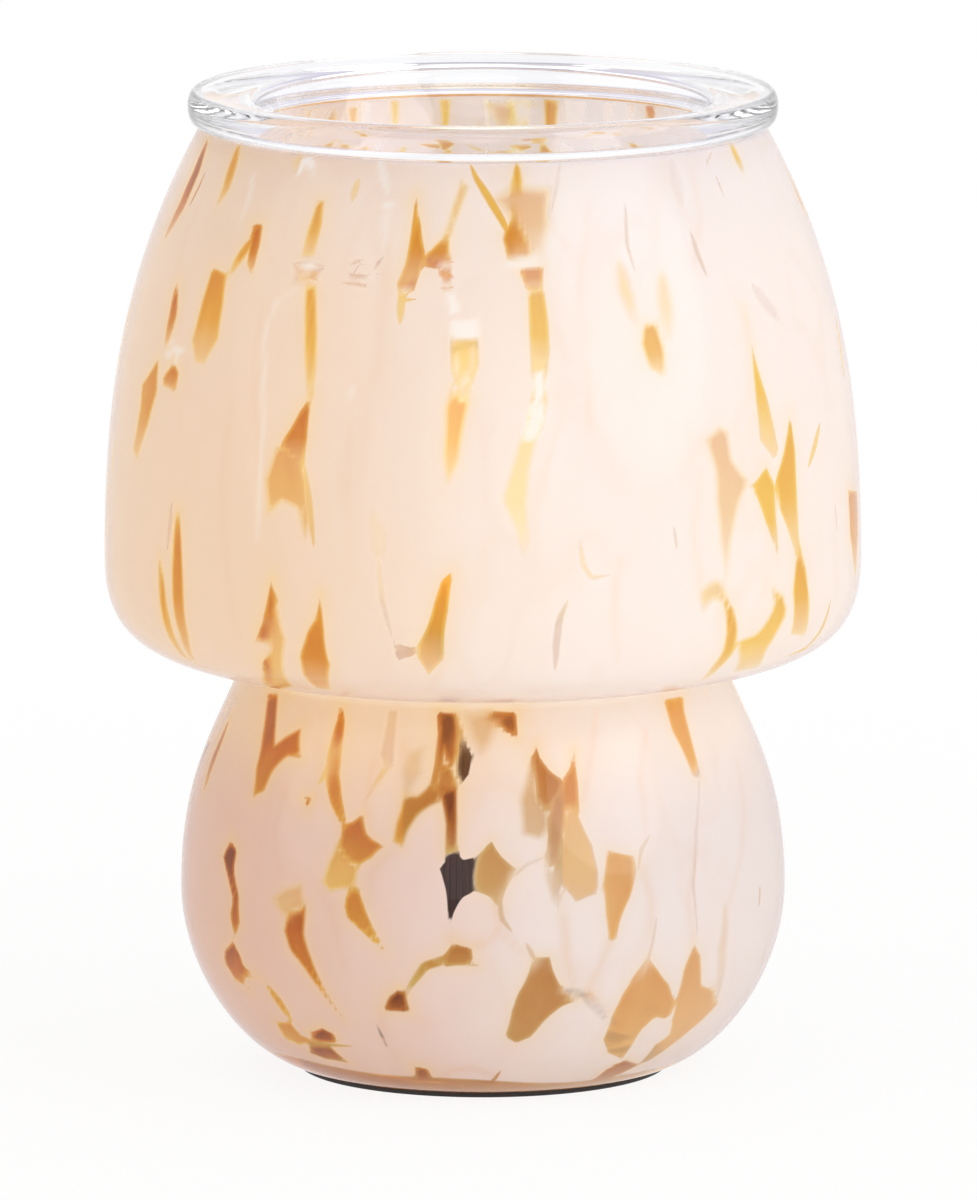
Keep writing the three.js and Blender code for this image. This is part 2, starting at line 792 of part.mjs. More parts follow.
addPiece('threaded_pipe', threadedPipe(), 'zinc');
addPiece('socket_column', socketColumn(), 'blackPlastic');
addPiece('socket_cap', socketCap(), 'zinc');
addPiece('socket_body', socketBody(), 'porcelain');
addPiece('screw_shell', screwShell(), 'brass');
addPiece('centre_contact', centreContact(), 'brass');
addPiece('terminal_screw_live', terminalScrew(-1), 'brass');
addPiece('terminal_screw_neutral', terminalScrew(1), 'brass');
addPiece('live_lead', lead(-1), 'leadSleeve');
addPiece('neutral_lead', lead(1), 'leadSleeve');
addPiece('cord_grommet', cordGrommet(), 'blackRubber');
addPiece('lamp_envelope', lampEnvelope(), 'clearGlass');
addPiece('lamp_screw_cap', lampScrewCap(), 'nickel');
addPiece('lamp_insulator', lampInsulator(), 'blackPlastic');
addPiece('lamp_tip_contact', lampTipContact(), 'nickel');
addPiece('lamp_stem', lampStem(), 'clearGlass');
addPiece('lead_in_wire_left', leadInWire(0), 'nickel');
addPiece('lead_in_wire_right', leadInWire(filamentLegs), 'nickel');
addPiece('filament', filament(), 'glow');
addPiece('support_wires_upper', filamentSupport(1, filamentHighZ - 2 * stemRadius), 'nickel');
addPiece('support_wires_lower', filamentSupport(2, filamentLowZ), 'nickel');

export default warmer;
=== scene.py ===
# Looks of the wax warmer: a lit lamp inside opal glass with amber gaps, under a clear glass dish.
# The camera, the studio and places inside materials are in metres. The pieces are in millimetres,
# scaled by mm where they are made.
import math
import random

import bpy
import numpy as np
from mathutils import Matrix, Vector, kdtree


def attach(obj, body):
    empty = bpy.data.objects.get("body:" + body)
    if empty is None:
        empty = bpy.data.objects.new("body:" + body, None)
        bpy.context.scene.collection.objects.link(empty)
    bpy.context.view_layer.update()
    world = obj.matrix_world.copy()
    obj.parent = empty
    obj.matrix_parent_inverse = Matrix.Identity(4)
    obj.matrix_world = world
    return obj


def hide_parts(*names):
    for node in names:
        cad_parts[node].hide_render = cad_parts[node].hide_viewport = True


mm = 0.001
mergeGap = 0.002 * mm  # points closer than this become one
fullTurn = 2 * math.pi
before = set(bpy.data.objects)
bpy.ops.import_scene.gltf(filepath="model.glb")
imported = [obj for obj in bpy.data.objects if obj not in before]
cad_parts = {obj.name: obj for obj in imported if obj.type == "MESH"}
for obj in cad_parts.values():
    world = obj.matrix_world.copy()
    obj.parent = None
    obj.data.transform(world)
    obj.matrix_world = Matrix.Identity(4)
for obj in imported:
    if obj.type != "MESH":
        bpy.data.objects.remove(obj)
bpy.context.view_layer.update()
print("frame loaded:", len(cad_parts), "CAD nodes")


# Small helpers for meshes

def clearSelection():
    if bpy.context.object and bpy.context.object.mode != "OBJECT":
        bpy.ops.object.mode_set(mode="OBJECT")
    bpy.ops.object.select_all(action="DESELECT")


def activate(piece):
    clearSelection()
    piece.select_set(True)
    bpy.context.view_layer.objects.active = piece


def mergeDoubles(piece, outwards=False):  # and turns every face outwards, if asked
    activate(piece)
    bpy.ops.object.mode_set(mode="EDIT")
    bpy.ops.mesh.select_all(action="SELECT")
    bpy.ops.mesh.remove_doubles(threshold=mergeGap)
    if outwards:
        bpy.ops.mesh.normals_make_consistent(inside=False)
    bpy.ops.object.mode_set(mode="OBJECT")


def selectFaces(piece, chosen):  # in edit mode, only the faces that the test picks, sizes in mm
    activate(piece)
    bpy.ops.object.mode_set(mode="EDIT")
    bpy.ops.mesh.select_mode(type="FACE")
    bpy.ops.mesh.select_all(action="DESELECT")
    bpy.ops.object.mode_set(mode="OBJECT")
    for face in piece.data.polygons:
        face.select = chosen(face.center / mm)
    bpy.ops.object.mode_set(mode="EDIT")


def applyPlace(piece):
    activate(piece)
    bpy.ops.object.transform_apply(location=True, rotation=True, scale=True)


def smoothByAngle(piece, degrees):
    activate(piece)
    bpy.ops.object.shade_smooth_by_angle(angle=math.radians(degrees))


def cutAway(piece, tool):  # takes the tool's shape out of the piece and drops the tool
    activate(piece)
    cut = piece.modifiers.new("cut", "BOOLEAN")
    cut.operation = "DIFFERENCE"
    cut.solver = "EXACT"
    cut.object = tool
    bpy.ops.object.modifier_apply(modifier="cut")
    bpy.data.objects.remove(tool)


# Small helpers for materials

def feed(tree, socket, value):  # another node's socket, a plain value, or a colour without alpha
    if isinstance(value, bpy.types.NodeSocket):
        tree.links.new(value, socket)
    elif socket.type == "RGBA" and len(value) == 3:
        socket.default_value = (*value, 1)
    else:
        socket.default_value = value


def addNode(tree, kind, inputs=None, **settings):
    made = tree.nodes.new(kind)
    for name, value in settings.items():
        setattr(made, name, value)
    for name, value in (inputs or {}).items():
        feed(tree, made.inputs[name], value)
    return made


def outputOf(tree, kind, inputs=None, output=0, **settings):  # a new node's output socket
    return addNode(tree, kind, inputs, **settings).outputs[output]


def newMaterial(name):
    material = bpy.data.materials.new(name)
    material.use_nodes = True
    tree = material.node_tree
    tree.nodes.clear()
    return material, tree


def finishMaterial(tree, shader):
    addNode(tree, "ShaderNodeOutputMaterial", {"Surface": shader})


def ramp(tree, factor, stops):
    made = addNode(tree, "ShaderNodeValToRGB", {"Fac": factor})
    while len(made.color_ramp.elements) < len(stops):
        made.color_ramp.elements.new(0.5)
    for element, (place, colour) in zip(made.color_ramp.elements, stops):
        element.position = place
        element.color = (*colour, 1)
    return made.outputs["Color"]


def mathNode(tree, operation, *values, clamp=False):
    return outputOf(tree, "ShaderNodeMath", dict(enumerate(values)),
                    operation=operation, use_clamp=clamp)


def mixColour(tree, factor, first, second, blend="MIX"):
    return outputOf(tree, "ShaderNodeMix", {0: factor, 6: first, 7: second}, 2,
                    data_type="RGBA", blend_type=blend)


def mixShader(tree, factor, first, second):
    return outputOf(tree, "ShaderNodeMixShader", {0: factor, 1: first, 2: second})


def addShader(tree, first, second):
    return outputOf(tree, "ShaderNodeAddShader", {0: first, 1: second})


def mapRange(tree, value, low, high, first=0.0, last=1.0):
    return outputOf(tree, "ShaderNodeMapRange", {
        "Value": value, "From Min": low, "From Max": high, "To Min": first, "To Max": last,
    }, "Result", interpolation_type="SMOOTHSTEP")


def objectPlace(tree):  # each point's place on its own piece
    return outputOf(tree, "ShaderNodeTexCoord", output="Object")


def splitPlace(tree, place):
    return addNode(tree, "ShaderNodeSeparateXYZ", {"Vector": place}).outputs


def stretched(tree, place, height):
    return outputOf(tree, "ShaderNodeMapping", {"Vector": place, "Scale": (1, 1, height)})


def noise(tree, place, scale, detail=2.0, roughness=0.5, output="Fac"):
    return outputOf(tree, "ShaderNodeTexNoise", {
        "Vector": place, "Scale": scale, "Detail": detail, "Roughness": roughness}, output)


def cloudyTint(tree, scale, first, second):  # a tint that isn't quite even
    return ramp(tree, noise(tree, objectPlace(tree), scale), ((0.3, first), (0.7, second)))


def emission(tree, colour, strength):
    return outputOf(tree, "ShaderNodeEmission", {"Color": colour, "Strength": strength})


def bsdf(tree, kind, colour):
    return outputOf(tree, "ShaderNodeBsdf" + kind, {"Color": colour})


def glassSheen(tree, under, roughness, ior=1.5):  # a glossy skin over whatever lies under it
    skin = outputOf(tree, "ShaderNodeFresnel", {"IOR": ior})
    gloss = outputOf(tree, "ShaderNodeBsdfGlossy", {"Color": (1, 1, 1), "Roughness": roughness})
    return mixShader(tree, skin, under, gloss)


def rgb(red, green, blue):  # a colour as seen on the screen, 0 to 255, made linear
    linear = []
    for value in (red, green, blue):
        share = value / 255
        linear.append(share / 12.92 if share <= 0.04045 else ((share + 0.055) / 1.055) ** 2.4)
    return tuple(linear)


white = (1, 1, 1)


# Camera: a long lens, a little above the object, as in the photograph

camera = {
    "lens": 482.5,
    "sensor": 36,
    "distance": 2.62,
    "rise": 9.3,  # degrees above level
    "target": (0.0009, 0.0, 0.0767),
    "photoWidth": 977,
    "photoHeight": 1200,
}


def makeCamera():
    rise = math.radians(camera["rise"])
    target = Vector(camera["target"])
    place = target + camera["distance"] * Vector((0, -math.cos(rise), math.sin(rise)))
    bpy.ops.object.camera_add(location=place, rotation=(math.pi / 2 - rise, 0, 0))
    made = bpy.context.object
    made.name = "studioCamera"
    made.data.lens = camera["lens"]
    made.data.sensor_fit = "VERTICAL"
    made.data.sensor_height = camera["sensor"]
    bpy.context.scene.camera = made
    bpy.context.view_layer.update()
    return made


def photoRay(view, x, y):  # start and direction of the sight line through a photograph pixel
    pixels = camera["lens"] / camera["sensor"] * camera["photoHeight"]
    across = (x - camera["photoWidth"] / 2) / pixels
    up = (camera["photoHeight"] / 2 - y) / pixels
    turn = view.matrix_world.to_3x3()
    return view.matrix_world.translation, (turn @ Vector((across, up, -1))).normalized()


clearSelection()
view = makeCamera()
print("camera in place")


# Studio: white world, pale floor that keeps the shadow, soft lamps

studio = {
    "worldLight": 0.7,
    "worldTint": (1, 0.995, 0.985),
    "floorSize": 6,
    "floorColour": rgb(246, 244, 243),
    "floorGrain": (900.0, 3.0, 0.01),  # scale, detail, strength
    "floorGlow": 0.89,  # how far the floor is lifted towards plain white for the camera
    "floorFade": (0.06, 0.5),  # and from where to where it becomes all white
    "frontDim": 0.68,  # brightness of the room in front, seen only in gloss and glass
    "frontFade": (-0.55, 0.1),
    "ceiling": rgb(214, 211, 226),  # likewise the ceiling
    "ceilingFade": (0.25, 0.75),
    "lampAim": (0, 0, 0.08),
}

studioLamps = (
    # name, place, size, watts, colour
    ("keyRight", (1.1, -0.8, 0.7), 1.3, 7.4, rgb(255, 254, 254)),
    ("fillLeft", (-1.2, -0.6, 0.6), 1.3, 3.4, rgb(255, 252, 248)),
    ("topSoft", (0.1, 0.2, 1.3), 1.1, 2.6, rgb(255, 255, 255)),
    ("frontSoft", (0.1, -1.5, 0.2), 1.2, 3.2, rgb(255, 254, 254)),
)

lightPaths = {
    "transparent_max_bounces": 32,
    "transmission_bounces": 24,
    "max_bounces": 24,
    "diffuse_bounces": 7,
    "glossy_bounces": 24,
    "sample_clamp_indirect": 6,
}


def seenDirectly(tree):  # 1 for sight lines, also those through glass and off gloss; plain ones
    path = addNode(tree, "ShaderNodeLightPath").outputs
    seen = mathNode(tree, "MAXIMUM", path["Is Camera Ray"], path["Is Glossy Ray"])
    return mathNode(tree, "MAXIMUM", seen, path["Is Transmission Ray"]), path["Is Camera Ray"]


def makeWorld():
    world = bpy.data.worlds.new("studioWorld")
    bpy.context.scene.world = world
    world.use_nodes = True
    tree = world.node_tree
    tree.nodes.clear()
    seen, cameraRay = seenDirectly(tree)
    # In gloss and glass the room in front, on the camera's side, is darker than the backdrop
    split = splitPlace(tree, outputOf(tree, "ShaderNodeTexCoord", output="Generated"))
    depth = mapRange(tree, split["Y"], *studio["frontFade"], studio["frontDim"], 1.0)
    height = mapRange(tree, split["Z"], *studio["ceilingFade"])
    above = mixColour(tree, height, white, studio["ceiling"])
    room = mixColour(tree, 1.0, above, depth, "MULTIPLY")
    shade = mixColour(tree, cameraRay, room, white)
    visible = outputOf(tree, "ShaderNodeBackground", {"Color": shade, "Strength": 1.0})
    lighting = outputOf(tree, "ShaderNodeBackground", {
        "Color": studio["worldTint"], "Strength": studio["worldLight"]})
    addNode(tree, "ShaderNodeOutputWorld", {"Surface": mixShader(tree, seen, lighting, visible)})


def makeFloor():
    bpy.ops.mesh.primitive_plane_add(size=studio["floorSize"], location=(0, 0, 0))
    floor = bpy.context.object
    floor.name = "studioFloor"
    material, tree = newMaterial("floorPaper")
    place = objectPlace(tree)
    scale, detail, strength = studio["floorGrain"]
    grain = noise(tree, place, scale, detail, output="Color")
    colour = mixColour(tree, strength, studio["floorColour"], grain)
    paper = bsdf(tree, "Diffuse", colour)
    seen = seenDirectly(tree)[0]
    # Away from the object the paper fades into the white backdrop
    spot = outputOf(tree, "ShaderNodeVectorMath", {0: place}, "Value", operation="LENGTH")
    fade = mapRange(tree, spot, *studio["floorFade"], studio["floorGlow"], 1.0)
    lift = mathNode(tree, "MULTIPLY", seen, fade)
    finishMaterial(tree, mixShader(tree, lift, paper, emission(tree, white, 1.0)))
    floor.data.materials.append(material)


def makeLamps():
    for name, place, size, watts, colour in studioLamps:
        bpy.ops.object.light_add(type="AREA", location=place)
        lamp = bpy.context.object
        lamp.name = name
        lamp.data.shape = "DISK"
        lamp.data.size = size
        lamp.data.energy = watts
        lamp.data.color = colour
        aim = Vector(studio["lampAim"]) - Vector(place)
        lamp.rotation_euler = aim.to_track_quat("-Z", "Y").to_euler()


makeWorld()
makeFloor()
makeLamps()
bpy.context.scene.view_settings.view_transform = "Standard"
for setting, value in lightPaths.items():
    setattr(bpy.context.scene.cycles, setting, value)
print("studio ready")


# Outlines that are turned about the upright axis: each sweep is one Bezier from a place (radius,
# height) to the next, with the directions it leaves and arrives at, in degrees from outwards

def sweep(start, end, leave, arrive, reach, rows):
    away = (math.cos(math.radians(leave)), math.sin(math.radians(leave)))
    home = (math.cos(math.radians(arrive)), math.sin(math.radians(arrive)))
    return {
        "start": start,
        "end": end,
        "leave": away,
        "arrive": home,
        "first": (start[0] + away[0] * reach[0], start[1] + away[1] * reach[0]),
        "last": (end[0] - home[0] * reach[1], end[1] - home[1] * reach[1]),
        "rows": rows,
    }


def straight(start, end, rows):
    run = math.degrees(math.atan2(end[1] - start[1], end[0] - start[0]))
    third = math.dist(start, end) / 3
    return sweep(start, end, run, run, (third, third), rows)


def chain(start, *steps):  # straight steps: end, rows; bent ones: end, leave, arrive, reach, rows
    parts = []
    for end, *how in steps:
        parts.append(straight(start, end, *how) if len(how) == 1 else sweep(start, end, *how))
        start = end
    return parts


def beside(place, way, wall):  # the place on the inside of a wall that runs that way
    return place[0] - way[1] * wall, place[1] + way[0] * wall


def inset(outer, wall, rows):  # the same sweep on the inside of a wall, run the other way
    start = beside(outer["start"], outer["leave"], wall)
    end = beside(outer["end"], outer["arrive"], wall)
    shrink = math.dist(start, end) / math.dist(outer["start"], outer["end"])
    first = math.dist(outer["start"], outer["first"]) * shrink
    last = math.dist(outer["end"], outer["last"]) * shrink
    leave = math.degrees(math.atan2(outer["leave"][1], outer["leave"][0]))
    arrive = math.degrees(math.atan2(outer["arrive"][1], outer["arrive"][0]))
    return sweep(end, start, arrive + 180, leave + 180, (last, first), rows)


def drawOutline(name, sweeps):  # the sweeps as one chain of edges in the plane y = 0
    clearSelection()
    bpy.ops.curve.primitive_bezier_curve_add(location=(0, 0, 0))
    outline = bpy.context.object
    outline.name = name
    outline.data.dimensions = "3D"
    outline.data.splines.clear()
    for part in sweeps:
        spline = outline.data.splines.new("BEZIER")
        spline.resolution_u = part["rows"]
        spline.bezier_points.add(1)
        ends = (("start", "start", "first"), ("end", "last", "end"))
        for bezierPoint, (place, left, right) in zip(spline.bezier_points, ends):
            bezierPoint.handle_left_type = bezierPoint.handle_right_type = "FREE"
            bezierPoint.co = (part[place][0] * mm, 0, part[place][1] * mm)
            bezierPoint.handle_left = (part[left][0] * mm, 0, part[left][1] * mm)
            bezierPoint.handle_right = (part[right][0] * mm, 0, part[right][1] * mm)
    bpy.ops.object.convert(target="MESH")
    mergeDoubles(outline)
    return outline


def turnOutline(name, sweeps, steps):
    outline = drawOutline(name, sweeps)
    activate(outline)
    turned = outline.modifiers.new("turned", "SCREW")
    turned.steps = turned.render_steps = steps
    turned.angle = fullTurn
    turned.screw_offset = 0
    turned.use_merge_vertices = True
    turned.merge_threshold = mergeGap / 2
    bpy.ops.object.modifier_apply(modifier="turned")
    mergeDoubles(outline, outwards=True)
    bpy.ops.object.shade_smooth()
    return outline


# Body: one blown shell, a round lower bulb under a bell-shaped cap

body = {
    "steps": 432,
    "wall": 3,
    "foot": (31, 1),
    "belly": (49.3, 30),
    "waistUnder": (39.7, 65.3),
    "waistOver": (40.9, 66.6),
    "cap": (61.6, 84),
    "mouth": (46.7, 153.2),
    "rimTop": 154.7,
    "footAngle": 16,
    "shoulderAngle": 114,
    "capUnderAngle": 9,
    "mouthAngle": 118,
    "footReach": (9.52, 13.34),
    "shoulderReach": (16.56, 12.6),
    "waistReach": (0.84, 0.84),
    "capUnderReach": (13.4, 13.0),
    "capReach": (25.31, 25.88),
    "rimReach": (1.1, 0.5),  # of the rim's round, at its outer and inner side
    "rimShare": 0.28,  # of the wall, at its top
    "innerRows": (6, 6, 2, 5, 9),
    "rimRows": 4,
    "holeRadius": 5.6,
    "floorUnder": 6,
    "floorFlat": 17,
    "footRing": 24,
    "ringIn": 1.5,  # how much wider the floor's upper side is
    "ringReach": (2.0, 1.6),
}


def bodyOuterSweeps():
    b = body
    return chain(
        b["foot"],
        (b["belly"], b["footAngle"], 90, b["footReach"], 34),
        (b["waistUnder"], 90, b["shoulderAngle"], b["shoulderReach"], 36),
        (b["waistOver"], b["shoulderAngle"], b["capUnderAngle"], b["waistReach"], 6),
        (b["cap"], b["capUnderAngle"], 90, b["capUnderReach"], 28),
        (b["mouth"], 90, b["mouthAngle"], b["capReach"], 68),
    )


def rimSweeps(mouthIn):  # over the rim, from its outside to its inside
    b = body
    top = ((b["mouth"][0] + mouthIn[0]) / 2, b["rimTop"])
    share = b["wall"] * b["rimShare"]
    return chain(
        b["mouth"],
        (top, b["mouthAngle"], 180, (b["rimReach"][0], share), b["rimRows"]),
        (mouthIn, 180, b["mouthAngle"] + 180, (share, b["rimReach"][1]), b["rimRows"]),
    )


def bodySweeps():
    b = body
    outer = bodyOuterSweeps()
    inner = [inset(part, b["wall"], rows) for part, rows in zip(outer, b["innerRows"])]
    inner.reverse()
    floorTop = b["floorUnder"] + b["wall"]
    slope = (b["footRing"] - b["floorFlat"]) / 2
    return outer + rimSweeps(inner[0]["start"]) + inner + chain(
        inner[-1]["end"],
        ((b["footRing"] + b["ringIn"], b["foot"][1] + b["wall"]), b["footAngle"] + 180, 180,
         b["ringReach"], 3),
        ((b["floorFlat"] + b["ringIn"], floorTop), 180, 180, (slope, slope), 6),
        ((b["holeRadius"], floorTop), 1),
        ((b["holeRadius"], b["floorUnder"]), 1),
        ((b["floorFlat"], b["floorUnder"]), 1),
        ((b["footRing"], b["foot"][1]), 0, 0, (slope, slope), 6),
        (b["foot"], 1),
    )


def readOuterPlaces():  # radius and height of each point of the outer wall, up to the rim's top
    outer = bodyOuterSweeps()
    mouthIn = inset(outer[-1], body["wall"], 1)["start"]
    outline = drawOutline("bodyOutline", outer + rimSweeps(mouthIn)[:1])
    places = [(v.co.x / mm, v.co.z / mm) for v in outline.data.vertices]
    bpy.data.objects.remove(outline)
    return places


outlet = {
    "height": 30,
    "hole": 4.9,
    "bore": 3.1,
    "shank": 4.7,
    "flange": 6.5,
    "inner": 42.9,  # the bush's inner and outer end, from the axis towards the rear
    "outer": 51.1,
    "steps": 64,
    "drillSides": 48,
    "drillDepth": 14,
}


def cutOutlet(shell):  # the round hole in the rear wall that the bush sits in
    clearSelection()
    bpy.ops.mesh.primitive_cylinder_add(
        vertices=outlet["drillSides"], radius=outlet["hole"] * mm, depth=outlet["drillDepth"] * mm,
        location=(0, body["belly"][0] * mm, outlet["height"] * mm), rotation=(math.pi / 2, 0, 0))
    drill = bpy.context.object
    applyPlace(drill)
    cutAway(shell, drill)


outerPlaces = readOuterPlaces()
glassBody = turnOutline("glassBody", bodySweeps(), body["steps"])
cutOutlet(glassBody)
print("glass body turned:", len(glassBody.data.polygons), "faces")


# Pattern of the body: white opal chips on clear glass. Between the chips lie gaps, most of them
# over amber. Each front gap was placed one by one and is given in photograph pixels.
# Patch: corners, bow of the sides towards its middle, tone, edge softness in mm, openness.
# Streak: points of its middle line, greatest width in mm, tone, softness, openness.
# A tone of 0 is clear glass, 0.33 yellow, 0.56 honey, 0.78 orange and 1 deep brown.

capPatches = (
    (((253, 224), (263, 224), (260, 244), (252, 279), (247, 264), (249, 246)), 0.05, 0.75, 0.25, 1),
    (((213, 267), (227, 274), (223, 305), (218, 340), (204, 364), (195, 362), (192, 340),
      (203, 298)), 0.03, 0.58, 0.3, 1),
    (((174, 362), (179, 372), (176, 394), (163, 386), (163, 376)), 0.1, 0.7, 0.3, 1),
    (((159, 358), (157, 392), (148, 425), (137, 461), (133, 450), (140, 410), (142, 385)), 0.05,
     0.6, 0.3, 1),
    (((318, 200), (324, 201), (322, 224), (314, 258), (301, 258), (308, 230)), 0.04, 0.54, 0.3,
     0.95),
    (((296, 270), (310, 270), (309, 284), (294, 283)), 0.04, 0.42, 0.7, 0.5),
    (((306, 283), (316, 285), (317, 330), (316, 370), (312, 400), (308, 400), (305, 365),
      (305, 310)), 0.0, 0.52, 0.4, 1),
    (((416, 194), (421, 226), (426, 256), (420, 274), (414, 291), (398, 294), (397, 284),
      (405, 264), (411, 232)), 0.06, 0.68, 0.18, 1),
    (((450, 232), (449, 245), (450, 258), (440, 270), (423, 267), (424, 257), (437, 243)), 0.06,
     0.64, 0.2, 1),
    (((462, 180), (468, 188), (458, 216), (450, 236), (443, 240), (453, 206)), 0.05, 0.5, 0.5,
     0.66),
    (((441, 258), (451, 256), (451, 292), (443, 290)), 0.02, 0.3, 0.4, 0.25),
    (((450, 336), (478, 336), (479, 365), (468, 398), (462, 398), (451, 372)), 0.0, 0.26, 0.2, 1),
    (((452, 388), (461, 400), (470, 398), (464, 422), (458, 462), (447, 486), (444, 455),
      (446, 408)), 0.04, 0.54, 0.6, 0.8),
    (((515, 206), (521, 226), (530, 245), (532, 258), (520, 262), (507, 261), (502, 236),
      (508, 226)), 0.05, 0.62, 0.25, 1),
    (((498, 200), (514, 188), (550, 190), (549, 222), (541, 254), (530, 252), (517, 222)), 0.04,
     0.56, 1.5, 0.6),
    (((518, 267), (543, 267), (543, 289), (526, 290)), 0.02, 0.74, 0.2, 0.72),
    (((528, 290), (544, 290), (548, 320), (550, 352), (547, 372), (531, 374), (530, 350),
      (529, 325)), 0.0, 0.42, 0.25, 0.9),
    (((531, 366), (548, 366), (545, 385), (547, 402), (544, 425), (536, 440), (522, 440),
      (529, 410), (534, 385)), 0.0, 0.24, 0.3, 1),
    (((521, 438), (536, 438), (529, 470), (526, 505), (529, 540), (524, 557), (516, 530),
      (503, 500), (510, 476)), 0.0, 0.34, 0.6, 0.5),
    (((644, 324), (656, 325), (664, 352), (665, 377), (650, 368), (642, 345)), 0.0, 0.5, 0.5, 0.9),
    (((744, 308), (749, 335), (757, 366), (767, 398), (779, 452), (774, 460), (760, 440),
      (756, 400), (750, 348)), 0.03, 0.4, 0.2, 1),
    (((790, 414), (795, 450), (797, 500), (799, 540), (803, 560), (796, 556), (780, 510),
      (775, 480), (783, 455)), 0.05, 0.45, 0.2, 1),
    (((799, 542), (806, 570), (809, 600), (805, 636), (791, 634), (793, 590), (796, 560)), 0.02,
     0.5, 0.3, 1),
    (((766, 466), (775, 486), (777, 530), (779, 562), (765, 520), (752, 486)), 0.06, 0.4, 0.2, 1),
    (((719, 428), (727, 432), (731, 460), (748, 482), (739, 500), (730, 545), (727, 580),
      (721, 540), (717, 500), (716, 470), (707, 440)), 0.05, 0.52, 0.8, 0.55),
    (((848, 490), (857, 491), (858, 530), (855, 582), (850, 535)), 0.02, 0.62, 0.25, 1),
    (((772, 588), (783, 596), (787, 612), (777, 632), (766, 650), (757, 668), (734, 672),
      (737, 642), (757, 634), (769, 618), (775, 605)), 0.06, 0.42, 0.6, 0.95),
    (((312, 394), (307, 440), (305, 462), (302, 474), (287, 450), (277, 453), (284, 438),
      (300, 411)), 0.07, 0.75, 0.2, 1),
    (((277, 446), (300, 458), (306, 480), (310, 520), (306, 540), (298, 508), (282, 500),
      (268, 514), (266, 480)), 0.03, 0.55, 0.7, 0.8),
    (((272, 578), (277, 600), (275, 640), (270, 643), (262, 624)), 0.04, 0.8, 0.2, 1),
    (((261, 626), (271, 624), (272, 644), (255, 642)), 0.06, 0.9, 0.2, 1),
    (((276, 600), (285, 640), (292, 686), (277, 689), (271, 650)), 0.04, 0.45, 0.6, 0.75),
    (((263, 661), (269, 657), (276, 678), (288, 691), (273, 687), (264, 672)), 0.02, 0.95, 0.2, 1),
    (((321, 594), (324, 630), (330, 665), (331, 690), (317, 688), (303, 674), (300, 655),
      (308, 630), (316, 618)), 0.04, 0.68, 0.25, 1),
    (((390, 634), (397, 643), (417, 648), (417, 656), (402, 659), (397, 661)), 0.1, 0.04, 0.15,
     0.7),
    (((442, 579), (453, 571), (448, 610), (444, 658), (429, 675), (418, 658), (415, 649),
      (426, 630), (435, 600)), 0.06, 0.6, 0.15, 1),
)

